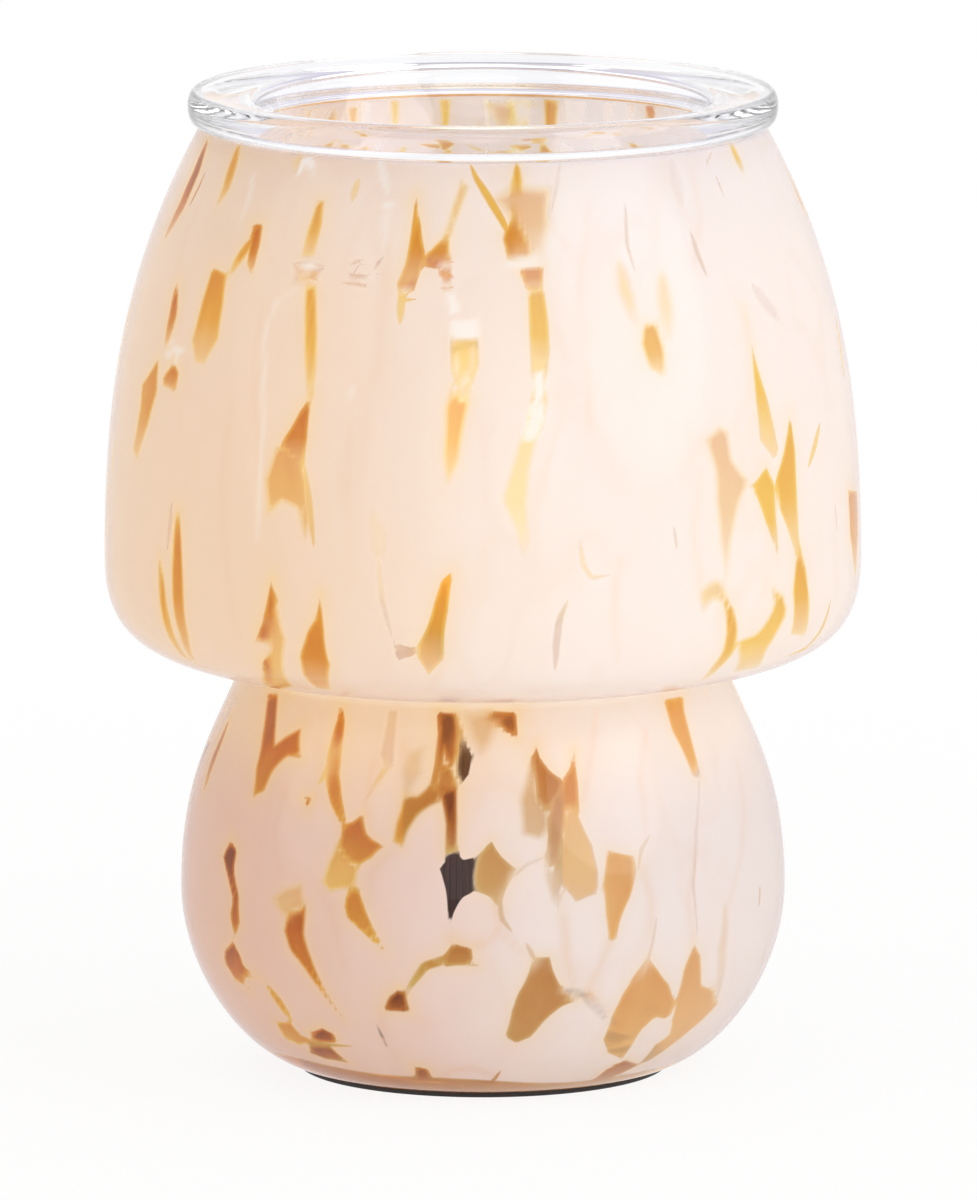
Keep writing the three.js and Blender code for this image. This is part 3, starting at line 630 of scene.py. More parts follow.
capStreaks = (
    (((208, 138), (196, 172), (182, 205), (164, 240)), 3.2, 0.9, 0.3, 1),
    (((206, 171), (198, 189), (189, 207)), 0.6, 1.0, 0.15, 0.8),
    (((241, 140), (233, 165), (226, 188), (217, 206)), 2.2, 0.62, 0.35, 0.95),
    (((254, 236), (242, 254), (229, 276)), 1.7, 0.62, 0.3, 1),
    (((177, 284), (173, 315), (165, 349)), 2.4, 0.76, 0.35, 1),
    (((300, 156), (296, 172)), 1.6, 0.45, 0.6, 0.5),
    # The next thirteen short lines are a painted reflection of the dish's floor edges, dark and
    # clear stripes in the gaps
    (((292, 264), (306, 262), (324, 266)), 0.6, 0.1, 0.2, 0.75),
    (((294, 271), (306, 270), (322, 274)), 0.6, 0.1, 0.2, 0.7),
    (((294, 279), (306, 277), (318, 280)), 0.5, 0.1, 0.2, 0.6),
    (((342, 283), (356, 284), (372, 287)), 0.6, 0.08, 0.2, 0.7),
    (((349, 275), (361, 276), (376, 278)), 0.6, 0.08, 0.2, 0.7),
    (((351, 265), (357, 261), (362, 260)), 0.6, 0.08, 0.2, 0.6),
    (((374, 270), (378, 263), (383, 257)), 0.6, 0.08, 0.2, 0.6),
    (((397, 284), (406, 286), (415, 284)), 0.6, 0.95, 0.2, 0.8),
    (((398, 291), (406, 293), (413, 291)), 0.5, 0.95, 0.2, 0.8),
    (((434, 262), (442, 263), (453, 262)), 0.8, 1.0, 0.2, 0.9),
    (((438, 271), (445, 271), (453, 270)), 0.8, 1.0, 0.2, 0.9),
    (((440, 279), (446, 280), (453, 279)), 0.7, 1.0, 0.2, 0.9),
    (((441, 288), (447, 288), (453, 287)), 0.7, 1.0, 0.2, 0.8),
    (((359, 178), (355, 190), (352, 202)), 1.2, 0.42, 0.5, 0.6),
    (((402, 288), (401, 305), (400, 324)), 1.3, 0.42, 0.4, 0.8),
    (((470, 164), (476, 178), (490, 200), (503, 222), (513, 244)), 1.3, 0.65, 0.2, 1),
    (((517, 158), (517, 180), (516, 206), (517, 226)), 1.7, 0.5, 0.25, 1),
    (((560, 163), (555, 195), (551, 214)), 0.6, 0.05, 0.3, 0.4),
    (((625, 203), (627, 245), (635, 272)), 0.6, 0.1, 0.25, 0.5),
    (((672, 160), (676, 182), (682, 206)), 1.9, 0.05, 0.7, 0.2),
    (((690, 230), (698, 255), (707, 277)), 0.9, 0.05, 0.3, 0.6),
    (((620, 262), (625, 290), (636, 325)), 2.2, 0.34, 0.9, 0.5),
    (((662, 272), (664, 300), (670, 338)), 2.6, 0.4, 1.0, 0.4),
    (((712, 150), (706, 166)), 0.5, 0.05, 0.2, 0.6),
    (((715, 174), (724, 196)), 0.5, 0.05, 0.2, 0.6),
    (((729, 139), (737, 158), (744, 174)), 1.6, 0.42, 0.4, 0.9),
    (((752, 284), (763, 300), (779, 320)), 2.4, 0.03, 0.6, 0.28),
    (((820, 422), (815, 445), (808, 468)), 1.3, 0.38, 0.4, 0.9),
    (((835, 313), (840, 345), (844, 378)), 1.2, 0.5, 0.3, 1),
    (((704, 610), (707, 595), (716, 589), (726, 600)), 2.6, 0.36, 0.9, 0.6),
    (((722, 596), (730, 612), (732, 632), (728, 652), (715, 668), (701, 681)), 2.4, 0.5, 0.4,
     0.95),
    (((831, 598), (821, 630), (806, 648), (788, 656)), 1.2, 0.58, 0.2, 0.8),
    (((304, 463), (309, 500), (314, 548)), 1.1, 0.42, 0.4, 0.8),
    (((178, 508), (177, 550), (178, 600), (184, 635), (195, 662)), 3.0, 0.66, 0.3, 1),
    (((160, 558), (163, 600), (170, 632), (183, 655), (197, 664)), 2.2, 0.58, 0.3, 1),
    (((172, 502), (170, 525), (167, 551)), 0.7, 0.02, 0.2, 0.8),
    (((115, 438), (112, 478)), 1.2, 0.5, 0.4, 0.8),
    (((372, 510), (378, 535), (380, 560)), 2.4, 0.03, 0.8, 0.2),
    (((378, 556), (382, 600), (392, 637)), 0.7, 0.03, 0.3, 0.35),
    (((580, 541), (583, 565), (592, 578), (609, 575)), 0.9, 0.03, 0.25, 0.4),
    (((568, 600), (559, 620), (556, 645), (555, 670)), 1.2, 0.03, 0.25, 0.5),
    (((674, 526), (677, 550)), 0.5, 0.05, 0.25, 0.5),
    (((835, 503), (837, 531)), 0.5, 0.05, 0.25, 0.5),
)

paleAndHighlightPatches = (  # the whitest glass near the lamp with painted glints of the lamp seen through gaps, in photograph pixels, with its strength
    (((447, 291), (455, 297), (461, 311), (449, 313)), 1),
    (((451, 319), (478, 318), (479, 341), (451, 342)), 1),
    (((531, 402), (547, 402), (544, 424), (536, 440), (521, 441), (527, 420)), 0.95),
    (((556, 168), (575, 168), (560, 250), (550, 300), (546, 240)), 0.3),
)

paleAndHighlightStreaks = (  # thin white marks, mostly painted highlights, glints and reflections: points, greatest width in mm, strength
    (((299, 174), (302, 163), (309, 160), (315, 173)), 1.3, 1),
    (((380, 160), (384, 176), (388, 192)), 1.3, 0.7),
    (((382, 204), (398, 202)), 0.9, 0.8),
    (((387, 205), (386, 225), (386, 246)), 1.2, 0.45),
    (((498, 263), (522, 262), (546, 262)), 1.3, 1),
    (((165, 355), (176, 350), (187, 349)), 1.1, 0.7),
    (((171, 341), (178, 353), (174, 366)), 1.1, 0.6),
    # The next six short level marks are the white stripes of the same painted reflection of the
    # dish's floor edges
    (((295, 267), (309, 266), (324, 270)), 0.7, 0.9),
    (((295, 275), (309, 274), (321, 277)), 0.7, 0.9),
    (((436, 267), (444, 267), (452, 266)), 0.7, 0.9),
    (((440, 275), (446, 275), (452, 275)), 0.7, 0.9),
    (((442, 283), (446, 284), (452, 283)), 0.7, 0.9),
    (((396, 288), (406, 289), (416, 288)), 0.6, 0.7),
    (((300, 287), (276, 302), (266, 330), (263, 420), (258, 540)), 0.9, 0.4),
    (((254, 168), (250, 196), (240, 226)), 0.8, 0.45),
    (((539, 368), (540, 386), (538, 404)), 2.2, 1),
    (((458, 350), (457, 370), (462, 388)), 0.7, 0.6),
    (((472, 348), (470, 370), (464, 388)), 0.7, 0.6),
    (((347, 392), (354, 394)), 1.0, 0.7),
)

bulbPatches = (
    (((268, 692), (278, 694), (275, 745), (285, 737), (301, 728), (301, 758), (288, 756),
      (273, 771), (264, 792), (253, 797), (256, 768), (262, 738)), 0.1, 0.82, 0.35, 1),
    (((342, 824), (352, 822), (363, 813), (366, 832), (372, 839), (384, 846), (372, 858),
      (358, 867), (345, 858), (339, 845)), 0.1, 0.78, 0.25, 1),
    (((338, 842), (350, 862), (358, 868), (355, 887), (330, 891), (322, 882), (329, 862)), 0.05,
     0.5, 0.6, 0.9),
    (((389, 702), (397, 702), (395, 735), (393, 766), (386, 768), (381, 755), (385, 735)), 0.03,
     0.22, 0.3, 0.55),
    (((384, 764), (390, 768), (376, 786), (362, 806)), 0.03, 0.4, 0.3, 0.7),
    (((404, 795), (418, 796), (430, 785), (438, 790), (441, 801), (430, 806), (418, 815),
      (407, 832), (402, 848), (393, 841), (396, 824)), 0.05, 0.68, 0.4, 1),
    (((408, 752), (424, 747), (421, 775), (406, 794), (403, 772)), 0.08, 0.36, 0.9, 0.42),
    (((438, 706), (455, 706), (460, 730), (459, 752), (452, 770), (446, 760), (440, 740)), 0.03,
     1.0, 0.3, 1),
    (((437, 708), (444, 710), (446, 745), (442, 770), (432, 795), (421, 797), (430, 785),
      (435, 762), (438, 735)), 0.02, 0.78, 0.15, 1),
    (((438, 788), (457, 788), (457, 820), (457, 852), (445, 854), (446, 825), (443, 806)), 0.02,
     0.98, 0.3, 1),
    (((442, 762), (452, 770), (458, 786), (448, 790), (434, 796), (438, 780)), 0.02, 0.7, 0.3, 1),
    (((457, 714), (464, 740), (472, 757), (469, 774), (461, 785), (456, 770), (454, 748)), 0.02,
     0.1, 0.15, 1),
    (((438, 865), (446, 862), (446, 848), (457, 848), (462, 860), (478, 856), (474, 875),
      (475, 892), (462, 898), (454, 912), (448, 932), (447, 900), (443, 880)), 0.1, 0.0, 0.12, 1),
    (((476, 857), (491, 840), (500, 855), (518, 870), (511, 880), (503, 897), (501, 912),
      (490, 897), (474, 891), (473, 875)), 0.08, 0.54, 0.15, 1),
    (((487, 704), (518, 704), (517, 714), (496, 714), (487, 712)), 0.02, 0.62, 0.2, 1),
    (((489, 712), (516, 711), (517, 725), (518, 739), (507, 732), (500, 725), (489, 721)), 0.03,
     1.0, 0.15, 1),
    (((466, 702), (490, 702), (498, 722), (490, 744), (481, 752), (472, 738), (468, 722)), 0.05,
     0.42, 1.3, 0.62),
    (((531, 759), (536, 746), (540, 758), (550, 771), (563, 780), (561, 792), (548, 812),
      (542, 806), (536, 798)), 0.06, 0.75, 0.15, 1),
    (((562, 780), (570, 768), (574, 750), (578, 785), (580, 814), (570, 808), (565, 812),
      (560, 800)), 0.04, 0.72, 0.15, 1),
    (((557, 786), (562, 792), (566, 812), (566, 822), (561, 848), (558, 872), (550, 864),
      (543, 858), (547, 850), (548, 820), (551, 806)), 0.03, 0.66, 0.2, 0.85),
    (((550, 868), (558, 872), (562, 895), (559, 922), (558, 900), (554, 880)), 0.02, 0.4, 0.2,
     0.6),
    (((545, 864), (556, 880), (558, 905), (553, 900), (547, 880)), 0.02, 0.42, 0.7, 0.5),
    (((531, 763), (537, 800), (546, 812), (548, 828), (540, 838), (523, 834), (521, 800)), 0.03,
     0.46, 0.8, 0.72),
    (((566, 812), (575, 808), (582, 825), (592, 845), (598, 870), (598, 893), (576, 902),
      (560, 882), (558, 860), (562, 845)), 0.04, 0.36, 0.25, 0.85),
    (((607, 850), (634, 856), (637, 870), (631, 895), (620, 920), (616, 939), (609, 942),
      (606, 915), (603, 885)), 0.04, 0.48, 0.25, 0.95),
    (((664, 684), (683, 684), (684, 710), (691, 738), (698, 765), (701, 779), (693, 776),
      (686, 758), (672, 730), (665, 705)), 0.03, 0.5, 0.25, 1),
    (((648, 956), (656, 968), (669, 985), (675, 1003), (668, 1019), (655, 1017), (640, 1031),
      (622, 1059), (608, 1053), (603, 1040), (612, 1015), (622, 995), (634, 975)), 0.04, 0.5,
     0.2, 0.95),
    (((694, 943), (700, 955), (701, 985), (713, 990), (717, 1005), (700, 1022), (682, 1037),
      (665, 1050), (650, 1060), (638, 1065), (655, 1045), (669, 1036), (672, 1020), (676, 1000),
      (684, 968)), 0.05, 0.48, 0.3, 0.9),
    (((533, 957), (550, 957), (552, 968), (560, 985), (570, 996), (590, 996), (562, 1006),
      (545, 1020), (531, 1037), (516, 1043), (505, 1037), (512, 1010), (517, 995), (528, 975)),
     0.05, 0.6, 0.2, 1),
    (((453, 943), (472, 948), (473, 960), (479, 966), (444, 967), (446, 952)), 0.08, 0.72, 0.2, 1),
    (((388, 997), (399, 989), (406, 993), (411, 1013), (383, 1011)), 0.08, 0.95, 0.25, 1),
    (((347, 891), (358, 888), (364, 905), (372, 925), (387, 953), (376, 945), (360, 930),
      (347, 918), (344, 905)), 0.05, 0.66, 0.2, 1),
    (((306, 906), (304, 935), (312, 960), (325, 990), (345, 1020), (322, 993), (305, 969),
      (290, 950), (284, 930), (287, 915)), 0.04, 0.74, 0.35, 1),
    (((270, 900), (285, 889), (302, 884), (304, 905), (285, 916)), 0.06, 0.48, 0.8, 0.6),
    (((231, 840), (237, 850), (234, 870), (239, 895), (240, 925), (235, 937), (230, 916),
      (233, 900), (226, 870), (223, 855)), 0.05, 0.9, 0.2, 1),
    (((233, 941), (240, 955), (244, 967), (260, 978), (248, 977), (242, 978), (250, 990),
      (235, 979), (224, 961), (225, 950)), 0.05, 0.85, 0.2, 1),
    (((275, 1021), (290, 1022), (301, 1035), (318, 1042), (300, 1045), (285, 1039)), 0.06, 0.58,
     0.25, 1),
    (((307, 1033), (322, 1028), (334, 1034), (338, 1044), (318, 1043)), 0.06, 0.95, 0.2, 1),
    (((309, 1044), (330, 1046), (350, 1063), (326, 1059), (310, 1053)), 0.06, 0.85, 0.25, 1),
    (((303, 797), (312, 797), (308, 810)), 0.05, 0.95, 0.15, 1),
    (((415, 1066), (428, 1069), (436, 1082), (414, 1083)), 0.05, 0.85, 0.2, 1),
    (((625, 1060), (640, 1064), (600, 1082), (585, 1084), (605, 1070)), 0.04, 0.7, 0.3, 0.9),
)

bulbStreaks = (
    (((229, 720), (219, 745), (211, 766), (204, 792)), 2.2, 0.86, 0.25, 1),
    (((237, 696), (227, 715), (218, 735)), 1.3, 0.0, 0.2, 0.9),
    (((341, 700), (341, 720), (335, 750), (332, 775), (336, 800), (346, 830)), 2.7, 0.76, 0.2, 1),
    (((318, 785), (328, 770), (334, 752)), 1.3, 0.45, 0.5, 0.7),
    (((500, 895), (501, 918), (512, 932)), 0.8, 0.42, 0.2, 0.6),
    (((526, 943), (536, 962)), 0.8, 0.4, 0.2, 0.5),
    (((562, 990), (586, 994), (606, 1020)), 1.6, 0.05, 0.6, 0.24),
    (((512, 878), (526, 865), (545, 857)), 0.5, 0.3, 0.2, 0.25),
    (((638, 870), (641, 850), (650, 835)), 0.7, 0.3, 0.4, 0.4),
    (((699, 776), (696, 830), (693, 885), (697, 935)), 0.7, 0.08, 0.3, 0.25),
    (((760, 883), (759, 908)), 0.7, 0.3, 0.2, 0.7),
    (((643, 975), (652, 945), (657, 915)), 0.6, 0.3, 0.3, 0.3),
    (((725, 905), (722, 950), (716, 1000)), 2.0, 0.3, 1.0, 0.4),
    (((478, 965), (450, 958), (425, 966), (411, 985), (405, 994)), 1.5, 0.52, 0.25, 1),
    (((266, 983), (280, 1003), (293, 1022)), 1.8, 0.6, 0.25, 1),
    (((300, 1040), (330, 1045), (352, 1046)), 0.7, 0.6, 0.2, 1),
    (((377, 1025), (382, 1036), (387, 1047)), 0.5, 0.1, 0.2, 0.7),
    (((470, 1085), (492, 1082), (501, 1070)), 0.7, 0.75, 0.2, 1),
    (((612, 1066), (622, 1063)), 0.7, 0.9, 0.2, 1),
)

chipSeams = (  # faint lines between chips, in photograph pixels, with their strength
    (((403, 745), (407, 775), (404, 812), (398, 838)), 0.35),
    (((372, 838), (366, 805), (372, 768), (384, 745)), 0.3),
    (((500, 868), (496, 905), (504, 935), (522, 952)), 0.45),
    (((446, 934), (468, 949), (494, 938), (502, 915)), 0.4),
    (((563, 918), (566, 955), (574, 990)), 0.45),
    (((612, 938), (600, 965), (586, 992)), 0.4),
    (((586, 992), (600, 1003), (612, 1013)), 0.4),
    (((380, 1010), (384, 1040), (398, 1060)), 0.35),
    (((436, 1082), (452, 1069), (476, 1068), (496, 1078)), 0.5),
    (((318, 882), (330, 905), (338, 940), (346, 975)), 0.3),
    (((395, 850), (372, 870), (368, 905)), 0.3),
    (((640, 862), (652, 900), (650, 935)), 0.35),
    (((694, 850), (688, 900), (692, 940)), 0.35),
    (((736, 760), (744, 810), (740, 860), (728, 905)), 0.25),
    (((286, 790), (274, 830), (280, 880)), 0.25),
    (((596, 712), (592, 750), (584, 800)), 0.3),
    (((646, 730), (640, 780), (646, 830)), 0.3),
    (((262, 300), (254, 360), (256, 420), (264, 470)), 0.22),
    (((386, 212), (388, 260), (382, 310), (376, 380)), 0.25),
    (((446, 640), (440, 670), (430, 690)), 0.25),
    (((588, 205), (580, 280), (584, 360), (592, 430)), 0.18),
    (((700, 470), (694, 530), (700, 590)), 0.25),
    (((620, 560), (612, 610), (618, 660)), 0.2),
    (((350, 420), (344, 500), (350, 580)), 0.18),
    (((232, 400), (222, 470), (226, 560), (238, 640)), 0.2),
    (((690, 165), (700, 215), (694, 262)), 0.25),
)

backMouthGaps = (
    # lower and upper end in mm under the mouth, mm to the right of the middle, width, tone,
    # softness
    (17, 3, 6.2, 4.6, 0.03, 0.25), (23, 3, 11.8, 2.6, 0.6, 0.3), (20, 3, 16.2, 4.2, 0.03, 0.2),
    (15, 3, 22.4, 2.2, 0.03, 0.25), (19, 3, 27.0, 1.2, 0.03, 0.3), (14, 3, 31.4, 2.4, 0.6, 0.3),
    (21, 3, 0.6, 1.0, 0.03, 0.3), (12, 3, -6.5, 2.0, 0.45, 0.4), (16, 3, -15.4, 1.4, 0.45, 0.4),
    (18, 3, -20.8, 2.2, 0.03, 0.25), (11, 4, -23.4, 1.8, 0.6, 0.3), (14, 4, -32.4, 2.4, 0.6, 0.3),
)

pattern = {
    "seed": 11,
    "pixelStep": 0.7,  # photograph pixels, by which a point off the wall is moved
    "frontUntil": 0.003,  # metres behind the axis, where the front ends
    "bends": (0, 0.2, 0.4, 0.6, 0.8),  # places along a bowed side
    "gapReach": 4.5,  # mm round a gap that it has a say in, and round a thin line
    "lineReach": 2.6,
    "gapSpread": 0.6,  # mm, how fast a gap's say falls off, and a thin line's
    "lineSpread": 0.5,
    "lineWeight": 2,
    "thin": 1.45,  # streaks narrower than this, in mm, are drawn as lines
    "lineNear": 1.9,  # mm
    "taper": 0.6,  # how fast a streak grows thicker from its ends; 0 is at once
    "touching": 0.05,  # mm, how close to the outline a vertex counts as on the outer wall
    "halo": 1.3,  # mm, how far amber shows through the edge of a chip
    "haloTone": 0.22,  # only gaps of a deeper tone have a halo
    "footBand": 6.6,  # mm of bare glass above the foot, along the wall
    "footRipple": (0.5, 7, 2),  # mm, waves round the foot and their start
    "footSway": (1.7, 2),
    "footTone": (0.56, 0.2),  # and how much it differs between left and right
    "footOpen": 0.96,
    "footSoft": 0.3,
    "capEnd": 76,  # mm along the wall, where the cap begins
    "sideStart": 83,  # degrees from the front, where the listed gaps end
    "sectors": ((90, 26), (180, 62), (270, 26)),  # where front gaps are laid again, degrees
    "againFrom": 0.3,  # only amber gaps are laid again
    "aside": 0.07,  # radians, and mm along the wall, by which they are moved at most
    "shift": 7,
    "capMargin": (4, 4),  # mm kept free at the lower and upper end of the cap, and of the bulb
    "bulbMargin": (3, 5),
    "farAway": 9,  # mm
    "sharpest": 0.15,  # mm
    "toneLow": 0.8,  # amber is paler and cloudier at a gap's lower end
    "toneRise": 0.3,
    "openLow": 0.5,
    "openTone": 0.25,  # for gaps of a deeper tone,
    "openUntil": 0.45,  # up to this share of their height
    "seamWidth": 0.5,  # mm, likewise its softness
    "seamSpan": (16, 24),  # mm to each side of a seam's middle, across and along
    "paleAndHighlightBow": 0.02,
    "paleAndHighlightSoft": 0.5,  # mm
    "paleAndHighlightSpan": (14, 2),
    "backBow": 0.03,
    "backRing": ((1, 0.5), (1, -0.5), (0.5, -0.3), (0, 0.0), (0.5, 0.3)),  # height, place aside
    "neckTop": 64.9,  # mm, height where the lower bulb ends
    "clearTurn": 0.3,  # no dark gap right behind the lamp: half width in radians,
    "clearAlong": 128,  # its place along the wall in mm
    "clearHigh": 18,  # and half its height
    "rimBand": 0.3,  # mm below the mouth, where the amber rim begins
}


def makeAlongTable(places):  # distance along the outer wall, from the foot, for each of its points
    along = [0.0]
    for before, after in zip(places, places[1:]):
        along.append(along[-1] + math.dist(before, after))
    return along


outerAlong = makeAlongTable(outerPlaces)


def radiusAt(along):
    return float(np.interp(along, outerAlong, [r for r, z in outerPlaces]))


def readWall(shell):  # for each vertex: angle from the front, radius, place along the outer wall
    places = np.empty(len(shell.data.vertices) * 3, np.float32)
    shell.data.vertices.foreach_get("co", places)
    places = places.reshape(-1, 3).astype(float) / mm
    radius = np.hypot(places[:, 0], places[:, 1])
    angle = np.arctan2(places[:, 0], -places[:, 1])
    tree = kdtree.KDTree(len(outerPlaces))
    for index, (r, z) in enumerate(outerPlaces):
        tree.insert((r, z, 0), index)
    tree.balance()
    known = {}
    along = np.full(len(places), -1.0)  # stays below zero on the inner wall
    for index, key in enumerate(zip(np.round(radius, 2), np.round(places[:, 2], 2))):
        if key not in known:
            found, distance = tree.find((*key, 0))[1:]
            known[key] = outerAlong[found] if distance < pattern["touching"] else -1.0
        along[index] = known[key]
    return {"angle": angle, "radius": radius, "along": along, "height": places[:, 2]}


def placeAlong(r, z):  # the nearest place along the outer wall to a radius and height
    best = (math.inf, 0)
    for index in range(len(outerPlaces) - 1):
        (r0, z0), (r1, z1) = outerPlaces[index], outerPlaces[index + 1]
        length = outerAlong[index + 1] - outerAlong[index]
        share = ((r - r0) * (r1 - r0) + (z - z0) * (z1 - z0)) / length ** 2
        share = min(max(share, 0), 1)
        away = math.dist((r0 + (r1 - r0) * share, z0 + (z1 - z0) * share), (r, z))
        best = min(best, (away, outerAlong[index] + share * length))
    return best[1]


def onWall(shell, points, highest=math.inf):  # each pixel's angle, place along the wall, radius
    step = pattern["pixelStep"]
    places = []
    for x, y in points:
        inwards = step if x < camera["photoWidth"] / 2 else -step
        found = False
        while not found:  # a point just past the outline moves in, one above the rim moves down
            hit, place = shell.ray_cast(*photoRay(view, x, y))[:2]
            found = hit and place.y < pattern["frontUntil"] and place.z < highest * mm
            x, y = (x, y + step) if hit else (x + inwards, y)
        r, z = math.hypot(place.x, place.y) / mm, place.z / mm
        places.append((math.atan2(place.x, -place.y), placeAlong(r, z), r))
    return places


def middleOf(places):  # mean angle and mean place along the wall
    return [sum(column) / len(column) for column in list(zip(*places))[:2]]


def wallChart(wall, places):  # a shape and the whole wall, unrolled about the shape's middle, mm
    angles, alongs, radii = (np.array(column) for column in zip(*places))
    chart = np.column_stack(((angles - angles.mean()) * radii, alongs))
    turn = (wall["angle"] - angles.mean() + np.pi) % fullTurn - np.pi
    return chart, np.column_stack((turn * wall["radius"], wall["along"]))


def roundShape(chart, unrolled, reach):  # the outer wall's vertices in a box round the shape
    inBox = (unrolled > chart.min(axis=0) - reach) & (unrolled < chart.max(axis=0) + reach)
    return np.flatnonzero(inBox.all(axis=1) & (unrolled[:, 1] >= 0))


def bowed(corners, bow):  # an outline whose sides bend in towards its middle
    middle = corners.mean(axis=0)
    outline = []
    for here, there in zip(corners, np.roll(corners, -1, axis=0)):
        pull = (here + there) / 2
        inward = middle - pull
        pull = pull + inward / max(np.hypot(*inward), 0.01) * bow * np.hypot(*(there - here))
        for share in pattern["bends"]:
            rest = 1 - share
            outline.append(rest ** 2 * here + 2 * share * rest * pull + share ** 2 * there)
    return np.array(outline)


def toSegments(points, starts, ends):  # distance to each segment and the share along it
    run = ends - starts
    away = points[:, None, :] - starts[None, :, :]
    share = (away * run).sum(-1) / np.maximum((run ** 2).sum(-1), 1e-9)
    share = np.clip(share, 0, 1)
    gap = away - share[..., None] * run
    return np.hypot(gap[..., 0], gap[..., 1]), share


def insideOutline(points, outline):
    inside = np.zeros(len(points), bool)
    x, y = points[:, 0], points[:, 1]
    for (x0, y0), (x1, y1) in zip(outline, np.roll(outline, -1, axis=0)):
        crosses = (y0 > y) != (y1 > y)
        where = x0 + (y - y0) * (x1 - x0) / (y1 - y0 if y1 != y0 else 1e-9)
        inside ^= crosses & (x < where)
    return inside


def patchDistance(points, corners, bow):  # below zero inside the patch
    outline = bowed(corners, bow)
    distance = toSegments(points, outline, np.roll(outline, -1, axis=0))[0].min(axis=1)
    return np.where(insideOutline(points, outline), -distance, distance)


def streakDistance(points, line, width, signed=False):  # a line that is thickest in its middle
    starts, ends = line[:-1], line[1:]
    lengths = np.hypot(*(ends - starts).T)
    before = np.concatenate(([0], np.cumsum(lengths)[:-1]))
    distance, share = toSegments(points, starts, ends)
    nearest = distance.argmin(axis=1)
    rows = np.arange(len(points))
    run = (before[nearest] + share[rows, nearest] * lengths[nearest]) / lengths.sum()
    half = width / 2 * np.sin(np.pi * np.clip(run, 0, 1)) ** pattern["taper"]
    if not signed:
        return distance[rows, nearest] - half
    way = (ends - starts)[nearest] / lengths[nearest, None]
    away = points - starts[nearest]
    offset = way[:, 0] * away[:, 1] - way[:, 1] * away[:, 0]
    past = distance[rows, nearest] - np.abs(offset)  # above zero past either end
    return offset, half - past


def addLook(layers, spots, closeness, tone, clearness):  # the closer gap has the greater say
    layers["weight"][spots] += closeness
    layers["gapTone"][spots] += closeness * tone
    layers["gapOpen"][spots] += closeness * clearness


def openGap(layers, spots, distance, soft, tone, clearness):
    layers["gapLevel"][spots] = np.minimum(layers["gapLevel"][spots], distance / soft)
    layers["gapDepth"][spots] = np.maximum(layers["gapDepth"][spots], -distance)
    closeness = np.exp(-np.clip(distance, -2, pattern["farAway"]) / pattern["gapSpread"])
    addLook(layers, spots, closeness, tone, clearness)


def blendGap(wall, layers, places, measure, size, tone, soft, clearness):
    p = pattern
    chart, unrolled = wallChart(wall, places)
    spots = roundShape(chart, unrolled, p["gapReach"])
    distance = measure(unrolled[spots], chart, size)
    lowest = chart[:, 1].min()
    share = (wall["along"][spots] - lowest) / max(np.ptp(chart[:, 1]), 1)
    fading = tone > p["openTone"] and lowest > p["capEnd"]
    fade = np.clip(share / p["openUntil"], 0, 1) if fading else 1
    tone = tone * (p["toneLow"] + p["toneRise"] * np.clip(share, 0, 1))
    clearness = clearness * (p["openLow"] + (1 - p["openLow"]) * fade)
    openGap(layers, spots, distance, soft, tone, clearness)
    halo = tone * clearness * np.exp(-np.maximum(distance, 0) / p["halo"])
    shown = np.where(tone > p["haloTone"], halo, 0)
    layers["gapHalo"][spots] = np.maximum(layers["gapHalo"][spots], shown)


def blendLine(wall, layers, places, width, tone, clearness):
    near = pattern["lineNear"]
    chart, unrolled = wallChart(wall, places)
    spots = roundShape(chart, unrolled, pattern["lineReach"])
    offset, half = streakDistance(unrolled[spots], chart, width, signed=True)
    closer = np.abs(offset) < np.minimum(np.abs(layers["lineOffset"][spots]), near)
    closer &= half > -near
    layers["lineOffset"][spots[closer]] = offset[closer]
    layers["lineHalf"][spots[closer]] = half[closer]
    past = np.clip(np.hypot(offset, np.minimum(half, 0)) - width, -1, pattern["farAway"])
    closeness = pattern["lineWeight"] * np.exp(-past / pattern["lineSpread"])
    addLook(layers, spots, closeness, tone, clearness)


def frontGaps(shell, wall, layers):  # returns the amber ones, for the sides
    shapes = []
    zones = ((capPatches, capStreaks, math.inf), (bulbPatches, bulbStreaks, pattern["neckTop"]))
    for patches, streaks, highest in zones:
        drawn = [(patchDistance, *patch) for patch in patches]
        drawn += [(streakDistance, *streak) for streak in streaks]
        for measure, points, size, tone, soft, clearness in drawn:
            places = onWall(shell, points, highest)
            if measure is streakDistance and size < pattern["thin"]:
                blendLine(wall, layers, places, size, tone, clearness)
                continue
            shape = (places, measure, size, tone, soft, clearness)
            blendGap(wall, layers, *shape)
            if tone > pattern["againFrom"]:
                shapes.append(shape)
    return shapes


def frontSeams(shell, wall, layers):  # soft lines where one chip overlaps the next
    width = pattern["seamWidth"]
    for line, strength in chipSeams:
        chart, unrolled = wallChart(wall, onWall(shell, line))
        near = (np.abs(unrolled - chart.mean(axis=0)) < pattern["seamSpan"]).all(axis=1)
        spots = np.flatnonzero(near & (unrolled[:, 1] >= 0))
        away = np.maximum(streakDistance(unrolled[spots], chart, width), 0)
        seam = strength * np.exp(-away / width)
        layers["chipSeam"][spots] = np.maximum(layers["chipSeam"][spots], seam)


